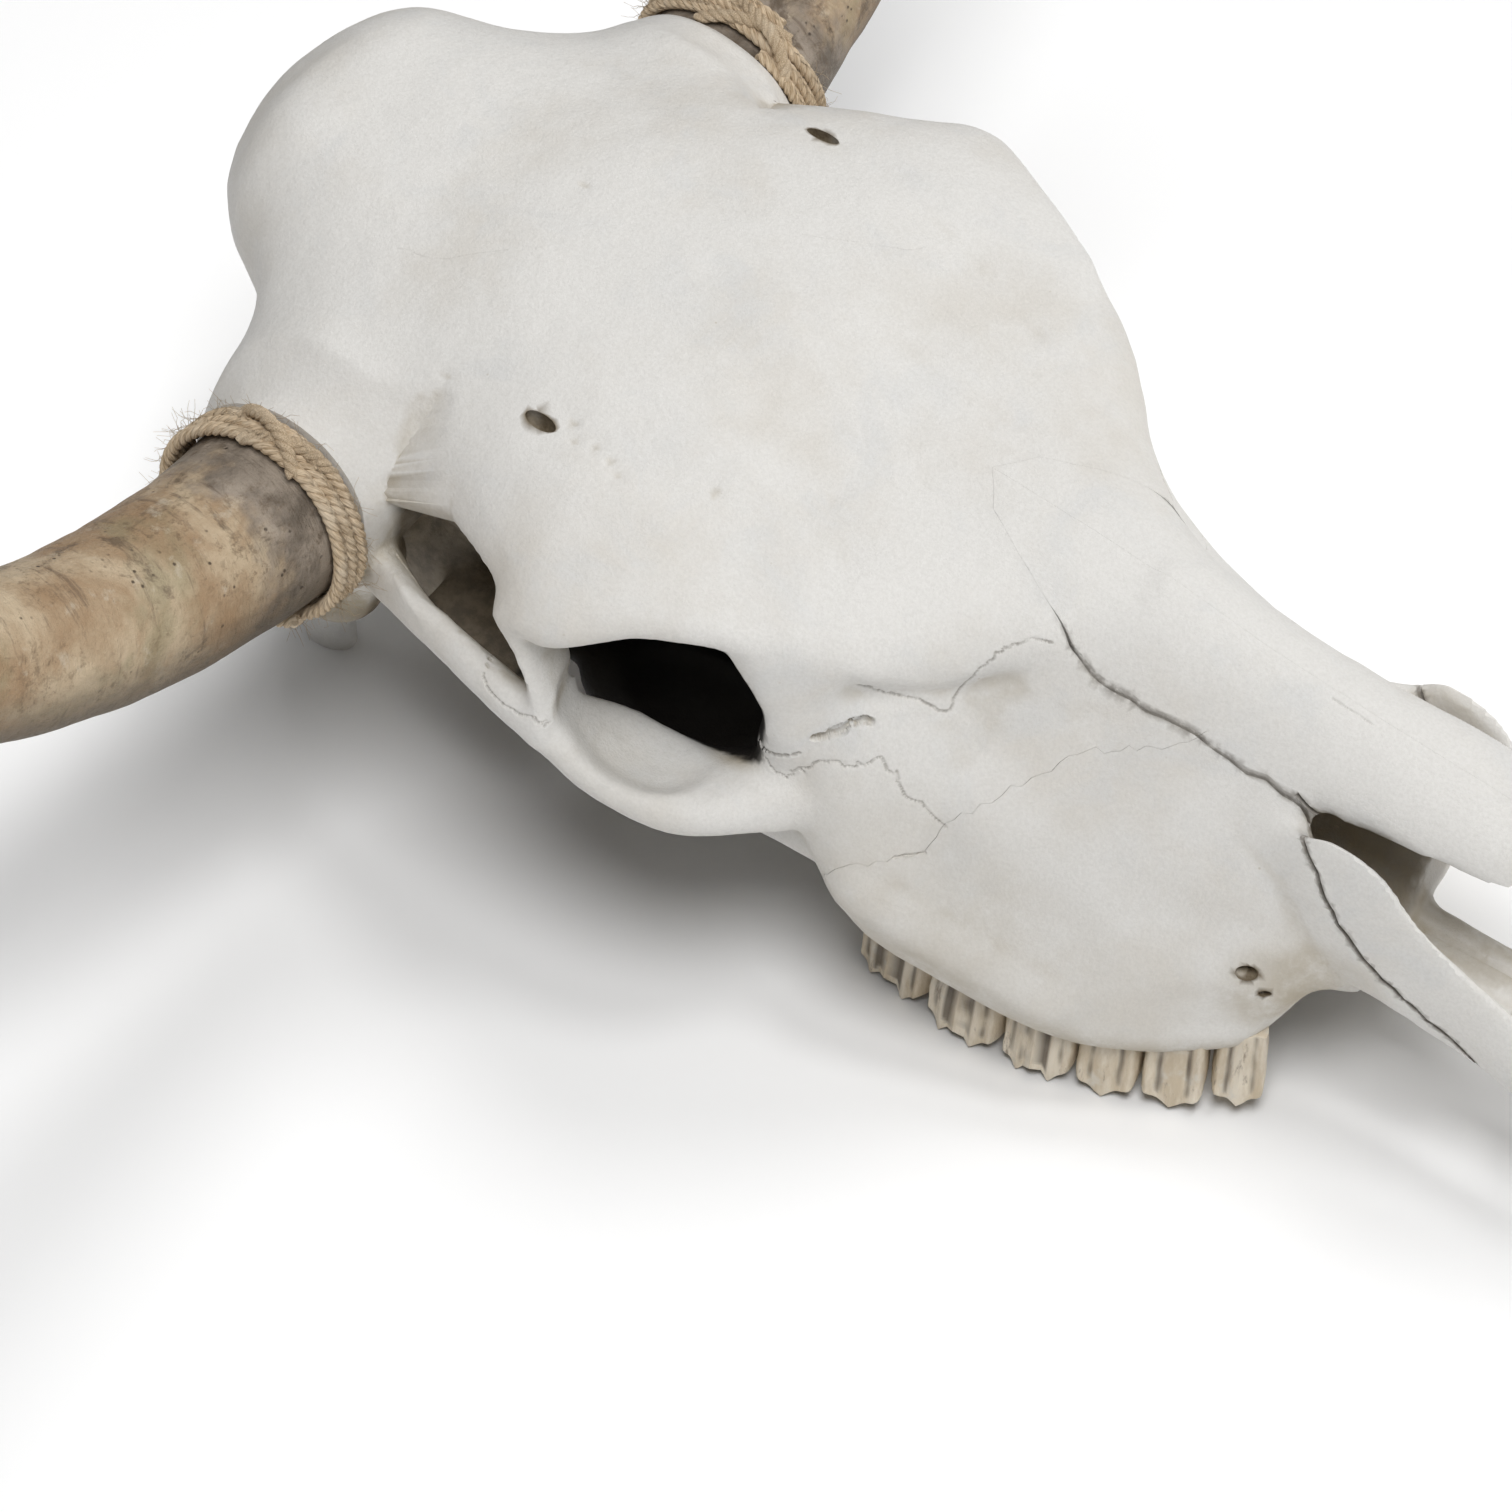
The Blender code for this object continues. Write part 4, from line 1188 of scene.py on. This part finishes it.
def part_bones(skull):
    trough = nasal_block(1, -SEAM_GAP, 210)
    cut(trough, nasal_block(-1, 0, 220))
    cut(skull, trough)
    y0, z0, slope = NASAL_UNDERSIDE
    rear = z0 + slope * (NASAL_APEX - y0) - 0.2
    front = z0 + slope * (-90 - y0) - 0.2
    between = [(-175, 100), (-175, 210), (NASAL_APEX, 210), (NASAL_APEX, rear), (-90, front),
               (-90, 100)]
    cut(skull, slab(between, -HAIR / 2, HAIR / 2, side_view))
    face_line = wiggle(FACE_SEAM, 2.2, 1.0, 21)
    under_nasals = np.flatnonzero(face_line[:, 1] > 116)[-1]
    cut(skull, blade(face_line[under_nasals:], FACE_SEAM_WIDTH, -140, 140, side_view))
    for s in SIDES:
        low, high = sorted((s * 24, s * 140))
        cut(skull, blade(face_line[:26], FACE_SEAM_WIDTH, low, high, side_view))
        line = wiggle(MUZZLE_SEAM, 4, 0.9, 31 + s)
        low, high = sorted((s * HAIR * 0.4, s * 70))    # from inside the slit between the sides
        cut(skull, blade(line, MUZZLE_SEAM_WIDTH, low, high, side_view))
        notch = [(s * x, y) for x, y in NASAL_NOTCH]
        cut(skull, slab(notch, 95, 145, plan_view))
    lower = [(-250, -8), (-250, 66), (-66, 68)] + list(FACE_SEAM[-2:])
    cut(skull, slab(lower, -HAIR / 2, HAIR / 2, side_view))
    upper = [(-66, 67), (-66, 111), (-46, 120), (6, 104), (30, 84), (44, 60), FACE_SEAM[-2]]
    cut(skull, slab(upper, -HAIR, HAIR, side_view))
    return skull


def bone_tree(bones):
    points = []
    faces = []
    for obj in bones:
        first = len(points)
        points += [tuple(p) for p in coords(obj)]
        faces += [[first + i for i in p.vertices] for p in obj.data.polygons]
    return BVHTree.FromPolygons(points, faces)


def bone_name(obj):
    co = coords(obj) / MM
    low = co.min(0)
    high = co.max(0)
    side = "_left" if (low[0] + high[0]) > 0 else "_right"
    if high[1] > 200:
        return "cranium"
    if low[2] > 95:
        return "nasal" + side
    if high[1] < -60:
        return "premaxilla" + side
    return "maxilla" + side


CRUMB = 1500              # vertices of the smallest piece that is a bone


def separate_bones(skull):
    """Split the cut skull into its bones, and drop the crumbs."""
    pick(skull)
    bpy.ops.object.mode_set(mode="EDIT")
    bpy.ops.mesh.separate(type="LOOSE")
    bpy.ops.object.mode_set(mode="OBJECT")
    bones = {}
    for obj in list(bpy.context.selected_objects):
        if len(obj.data.vertices) < CRUMB:
            bpy.data.objects.remove(obj)
            continue
        name = bone_name(obj)
        obj.name = name + "_bone"
        obj.data.name = obj.name
        bones[name] = obj
    return bones


SOCKET_REGION = ((60, 45, 60), (125, 140, 155))


def thin(obj):
    """Bring a bone under the triangle limit, sparing the skin round the eye sockets."""
    triangles = sum(len(p.vertices) - 2 for p in obj.data.polygons)
    if triangles <= MOST_TRIANGLES:
        return
    spared = inside_box(folded(coords(obj) / MM), *SOCKET_REGION, 1)
    group = obj.vertex_groups.new(name="thin")
    group.add(np.flatnonzero(spared == 0).tolist(), 1.0, "REPLACE")
    mod = obj.modifiers.new("thin", "DECIMATE")
    mod.ratio = MOST_TRIANGLES / triangles
    mod.vertex_group = group.name
    apply_all(obj)
    obj.vertex_groups.clear()


# ---- materials ---------------------------------------------------------------------------
class Paint:
    """A material's node tree, with short calls for the nodes this object's finishes need."""

    def __init__(self, name, roughness, specular=0.35):
        self.mat = bpy.data.materials.new(name)
        self.mat.use_nodes = True
        self.tree = self.mat.node_tree
        self.shader = self.tree.nodes["Principled BSDF"]
        self.shader.inputs["Roughness"].default_value = roughness
        self.shader.inputs["Specular IOR Level"].default_value = specular
        self.place = self.node("ShaderNodeTexCoord").outputs["Object"]

    def node(self, kind, **settings):
        made = self.tree.nodes.new(kind)
        for key, value in settings.items():
            setattr(made, key, value)
        return made

    def link(self, source, target):
        self.tree.links.new(source, target)

    def put(self, value, socket):
        if hasattr(value, "node"):
            self.link(value, socket)
        else:
            socket.default_value = value

    def stretched(self, scale, source=None):
        node = self.node("ShaderNodeMapping")
        self.link(source or self.place, node.inputs["Vector"])
        node.inputs["Scale"].default_value = scale
        return node.outputs["Vector"]

    def noise(self, size, detail=4, rough=0.5, source=None, warp=0.0):
        """Noise whose blotches are about size metres across."""
        node = self.node("ShaderNodeTexNoise")
        self.link(source or self.place, node.inputs["Vector"])
        node.inputs["Scale"].default_value = 1 / size
        node.inputs["Detail"].default_value = detail
        node.inputs["Roughness"].default_value = rough
        node.inputs["Distortion"].default_value = warp
        return node.outputs["Fac"]

    def cells(self, size):
        """Distance to the nearest of points scattered about size metres apart."""
        node = self.node("ShaderNodeTexVoronoi", feature="F1")
        self.link(self.place, node.inputs["Vector"])
        node.inputs["Scale"].default_value = 1 / size
        return node.outputs["Distance"]

    def ramp(self, value, low, high):
        """0 below low, 1 above high; low may be the greater one."""
        node = self.node("ShaderNodeMapRange")
        node.interpolation_type = "SMOOTHSTEP"
        self.put(value, node.inputs["Value"])
        a, b, c, d = (low, high, 0, 1) if low < high else (high, low, 1, 0)
        for key, number in (("From Min", a), ("From Max", b), ("To Min", c), ("To Max", d)):
            node.inputs[key].default_value = number
        return node.outputs["Result"]

    def sums(self, how, a, b):
        node = self.node("ShaderNodeMath", operation=how)
        self.put(a, node.inputs[0])
        self.put(b, node.inputs[1])
        return node.outputs[0]

    def mix(self, amount, a, b):
        node = self.node("ShaderNodeMix", data_type="RGBA")
        self.put(amount, node.inputs["Factor"])
        self.put(a if hasattr(a, "node") else (*a, 1), node.inputs[6])
        self.put(b if hasattr(b, "node") else (*b, 1), node.inputs[7])
        return node.outputs[2]

    def blotches(self, tone, size, low, high, colour, amount=1.0, **how):
        """The tone with blotches of a colour; how goes to noise()."""
        shape = self.ramp(self.noise(size, **how), low, high)
        return self.mix(self.sums("MULTIPLY", shape, amount), tone, colour)

    def attribute(self, name):
        return self.node("ShaderNodeAttribute", attribute_name=name).outputs["Fac"]

    def colour(self, value):
        self.put(value, self.shader.inputs["Base Color"])

    def bump(self, parts):
        """Bumps, each a (height, depth in metres), one on the other."""
        last = None
        for height, depth in parts:
            node = self.node("ShaderNodeBump")
            node.inputs["Strength"].default_value = 1
            node.inputs["Distance"].default_value = depth
            self.link(height, node.inputs["Height"])
            if last:
                self.link(last, node.inputs["Normal"])
            last = node.outputs["Normal"]
        self.link(last, self.shader.inputs["Normal"])


BONE_WHITE = (0.79, 0.775, 0.745)
BONE_WARM = (0.72, 0.69, 0.64)
BONE_COOL = (0.71, 0.71, 0.70)
DUST_AND_SHADE = (0.43, 0.37, 0.27)
SUTURE_BROWN = (0.11, 0.085, 0.06)
CAVITY_BROWN = (0.12, 0.09, 0.055)
CAVITY_TAN = (0.24, 0.195, 0.135)
GRAIN_GREY = (0.52, 0.50, 0.46)
SOCKET_BLACK = (0.017, 0.015, 0.013)


def bone_material():
    m = Paint("bleached_bone", 0.62, 0.3)
    tone = m.blotches(BONE_WHITE, 0.055, 0.42, 0.70, BONE_WARM, detail=5, rough=0.6)
    tone = m.blotches(tone, 0.03, 0.5, 0.72, BONE_COOL, 0.6, rough=0.6, warp=0.6)
    tone = m.blotches(tone, 0.0011, 0.3, 0.75, GRAIN_GREY, 0.22, detail=3, rough=0.65)
    # Dust and painted shade, in a tan, as painted on each vertex.
    tone = m.blotches(tone, 0.012, 0.12, 0.62, DUST_AND_SHADE, m.attribute("dirt_and_shade"), detail=6, rough=0.7)
    specks = m.ramp(m.cells(0.0065), 0.085, 0.03)
    rare = m.ramp(m.noise(0.03, 2), 0.60, 0.68)
    tone = m.mix(m.sums("MULTIPLY", m.sums("MULTIPLY", specks, rare), 0.5), tone, DUST_AND_SHADE)
    mottle = m.blotches(CAVITY_BROWN, 0.006, 0.35, 0.65, CAVITY_TAN, detail=6, rough=0.7)
    # Brown stain, partly painted shade, inside the nose, the temporal fossae and the holes.
    tone = m.mix(m.attribute("stain_and_shade"), tone, mottle)
    tone = m.blotches(tone, 0.0035, 0.25, 0.55, SUTURE_BROWN, m.attribute("line"), detail=3,
                      rough=0.6)
    # Painted shade: the inner walls of the eye sockets are painted near black.
    tone = m.mix(m.attribute("deep"), tone, SOCKET_BLACK)
    m.colour(tone)
    m.bump([(m.noise(0.0009, 4, 0.6), 0.00020), (m.noise(0.004, 4, 0.6), 0.00034),
            (m.noise(0.02, 3, 0.5), 0.0005)])
    return m.mat


def tooth_material():
    m = Paint("tooth_enamel", 0.42, 0.5)
    streaks = m.stretched((1, 1, 0.22))
    tone = m.blotches((0.80, 0.72, 0.59), 0.006, 0.35, 0.68, (0.60, 0.50, 0.36), detail=5,
                      rough=0.65, source=streaks)
    tone = m.blotches(tone, 0.009, 0.55, 0.75, (0.70, 0.65, 0.56), rough=0.6)
    # Dirt and painted shade in the teeth's valleys, darker towards the roots.
    tone = m.mix(m.attribute("dirt_and_shade"), tone, (0.07, 0.045, 0.025))
    tone = m.blotches(tone, 0.0042, 0.58, 0.72, (0.13, 0.075, 0.04), 0.7, detail=5, rough=0.7,
                      source=streaks)
    m.colour(tone)
    m.bump([(m.noise(0.0008, 3, 0.6, source=streaks), 0.00015), (m.noise(0.004, 4, 0.6), 0.0004)])
    return m.mat


def horn_material(s):
    m = Paint("horn_sheath_" + WORD[s], 0.55, 0.35)
    uv = m.node("ShaderNodeUVMap", uv_map="UVMap").outputs["UV"]
    flow = m.stretched((1.2, 16, 1), uv)
    along = m.node("ShaderNodeSeparateXYZ")
    m.link(uv, along.inputs[0])
    tan = m.blotches((0.37, 0.245, 0.14), 0.03, 0.33, 0.66, (0.60, 0.48, 0.33), detail=6,
                     rough=0.62, warp=0.5)
    tan = m.blotches(tan, 0.04, 0.5, 0.66, (0.29, 0.255, 0.15), 0.55, rough=0.6, warp=0.4)
    grey = m.blotches((0.16, 0.13, 0.10), 0.014, 0.3, 0.7, (0.40, 0.335, 0.27), detail=6,
                      rough=0.66, warp=0.4)
    edge = m.sums("ADD", along.outputs["Y"],
                  m.sums("MULTIPLY", m.sums("SUBTRACT", m.noise(0.02, 4, 0.6), 0.5), 0.22))
    tone = m.mix(m.ramp(edge, 0.13, 0.075), tan, grey)
    tone = m.blotches(tone, 0.022, 0.54, 0.66, (0.11, 0.075, 0.045), 0.75, detail=7, rough=0.72,
                      warp=0.8)
    tone = m.blotches(tone, 0.010, 0.57, 0.72, (0.62, 0.54, 0.42), 0.6, detail=6, rough=0.7)
    patches = m.ramp(m.noise(0.018, 4, 0.6), 0.40, 0.62)
    tone = m.blotches(tone, 0.0028, 0.50, 0.64, (0.15, 0.10, 0.055),
                      m.sums("MULTIPLY", patches, 0.6), detail=6, rough=0.75)
    streaks = m.noise(0.35, 6, 0.7, source=flow)
    tone = m.mix(m.sums("MULTIPLY", m.ramp(streaks, 0.56, 0.66), 0.55), tone, (0.12, 0.08, 0.05))
    pits = m.sums("MULTIPLY", m.ramp(m.cells(0.0042), 0.16, 0.05),
                  m.ramp(m.noise(0.015, 3), 0.48, 0.62))
    tone = m.mix(m.sums("MULTIPLY", pits, 0.85), tone, (0.05, 0.033, 0.02))
    # Painted shade on the horn's underside.
    tone = m.mix(m.sums("MULTIPLY", m.attribute("underside_shade"), 0.88), tone, (0.092, 0.066, 0.038))
    tip = m.ramp(along.outputs["Y"], 0.55, 0.95)
    tone = m.mix(m.sums("MULTIPLY", tip, 0.8), tone, (0.045, 0.038, 0.032))
    m.colour(tone)
    m.bump([(m.noise(0.0012, 5, 0.65), 0.0005), (streaks, 0.0012),
            (m.noise(0.006, 5, 0.6), 0.0010), (m.sums("SUBTRACT", 1.0, pits), 0.0004)])
    return m.mat


def twine_material():
    m = Paint("jute_twine", 0.9, 0.1)
    uv = m.node("ShaderNodeUVMap", uv_map="UVMap").outputs["UV"]
    strands = m.stretched((14, 220, 1), uv)
    tone = m.blotches((0.38, 0.275, 0.17), 1.0, 0.3, 0.7, (0.74, 0.60, 0.43), detail=3,
                      rough=0.6, source=strands)
    tone = m.blotches(tone, 0.008, 0.45, 0.75, (0.76, 0.66, 0.52), 0.5, rough=0.6)
    m.colour(tone)
    m.bump([(m.noise(1.0, 3, 0.6, source=strands), 0.0004)])
    return m.mat


def floor_material():
    m = Paint("white_backdrop", 0.85, 0.1)
    m.colour(m.mix(m.noise(0.3, 2), (0.93, 0.93, 0.93), (0.945, 0.945, 0.945)))
    return m.mat


def dress(obj, material):
    obj.data.materials.clear()
    obj.data.materials.append(material)
    pick(obj)
    bpy.ops.object.shade_smooth_by_angle(angle=math.radians(38))


# ---- room, lights, camera ----------------------------------------------------------------
CAMERA_PLACE = Vector((-0.7176, -0.3979, 1.0246))
CAMERA_RIGHT = Vector((0.5621, -0.8271, 0))
CAMERA_BACK = Vector((-0.5272, -0.3583, 0.7705))
FOCAL_SHARE = 4267 / 1512       # focal length as a share of the frame's width


def camera():
    data = bpy.data.cameras.new("camera")
    data.sensor_width = 36
    data.sensor_fit = "HORIZONTAL"
    data.lens = 36 * FOCAL_SHARE
    data.clip_start = 0.05
    data.clip_end = 30
    obj = bpy.data.objects.new("camera", data)
    bpy.context.scene.collection.objects.link(obj)
    right = CAMERA_RIGHT.normalized()
    back = CAMERA_BACK.normalized()
    axes = Matrix((right, back.cross(right), back)).transposed()
    obj.matrix_world = Matrix.Translation(CAMERA_PLACE) @ axes.to_4x4()
    bpy.context.scene.camera = obj


def soft_light(name, place, size, power, ground, lights_ground):
    """Round soft light aimed at the skull, for the object or for the ground alone."""
    data = bpy.data.lights.new(name, "AREA")
    data.shape = "DISK"
    data.size = size
    data.energy = power
    obj = bpy.data.objects.new(name, data)
    bpy.context.scene.collection.objects.link(obj)
    obj.location = place
    obj.rotation_euler = (-Vector(place)).to_track_quat("-Z", "Y").to_euler()
    group = bpy.data.collections.new(name + "_reach")
    group.objects.link(ground)
    obj.light_linking.receiver_collection = group
    if not lights_ground:
        group.collection_objects[0].light_linking.link_state = "EXCLUDE"


# Name, place, size, power, and whether it lights the ground alone or all but the ground.
LIGHTS = (
    ("ground_front", (-0.56, -0.38, 1.89), 0.9, 23, True),
    ("ground_back", (0.70, 0.475, 1.81), 0.8, 14, True),
    ("ground_muzzle", (0.23, -0.34, 1.96), 0.4, 7, True),
    ("ground_poll", (-0.07, 1.0, 1.73), 1.8, 4, True),
    ("key", (-0.60, -0.40, 1.86), 1.0, 24, False),
    ("low_muzzle", (1.07, -1.57, 0.62), 1.0, 11, False),
    ("far", (1.60, 0.25, 1.10), 1.3, 9, False),
    ("front", (-0.24, -1.26, 1.53), 1.0, 4, False),
    ("poll", (-0.95, 1.40, 1.06), 1.0, 2.5, False),
)


WORLD_LIGHT = 0.07


def studio():
    clear_selection()
    bpy.ops.mesh.primitive_plane_add(size=12, location=(0, 0, 0))
    ground = added("floor")
    dress(ground, floor_material())
    for name, place, size, power, lights_ground in LIGHTS:
        soft_light(name, place, size, power, ground, lights_ground)
    world = bpy.data.worlds.new("studio")
    world.use_nodes = True
    world.node_tree.nodes["Background"].inputs["Color"].default_value = (1, 1, 1, 1)
    world.node_tree.nodes["Background"].inputs["Strength"].default_value = WORLD_LIGHT
    bpy.context.scene.world = world
    bpy.context.scene.view_settings.view_transform = "Standard"


# ---- putting it together -----------------------------------------------------------------
def finish_piece(obj, slot, material, *nodes):
    """Move a piece into the part's frame, give it its finish and tie it to the frame."""
    obj.data.transform(Matrix.Translation((0, -ORIGIN_Y * MM, 0)))
    dress(obj, material)
    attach(obj, "root")
    if nodes:
        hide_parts(*nodes)


def main():
    camera()
    studio()
    skull = sculpt(narrow_collars(soften(whole_skull())))
    lines = Lines(skull)
    press_pits(carve_lines(skull, lines))
    pierce(trim(skull))
    bones = separate_bones(part_bones(skull))
    for obj in bones.values():
        thin(obj)
    tree = bone_tree(bones.values())
    for obj in bones.values():
        paint_bone(obj, lines, tree)
    bone = bone_material()
    for name, obj in bones.items():
        slot = "bone_and_teeth" if name.startswith("maxilla") else "bone"
        finish_piece(obj, slot, bone, name)
    enamel = tooth_material()
    twine = twine_material()
    for s in SIDES:
        finish_piece(tooth_row(s), "bone_and_teeth", enamel)
        finish_piece(horn(s), "horn", horn_material(s), "horn_" + WORD[s])
        rope, hairs = binding(s)
        finish_piece(rope, "twine", twine, "rope_" + WORD[s])
        finish_piece(hairs, "twine", twine)


main()
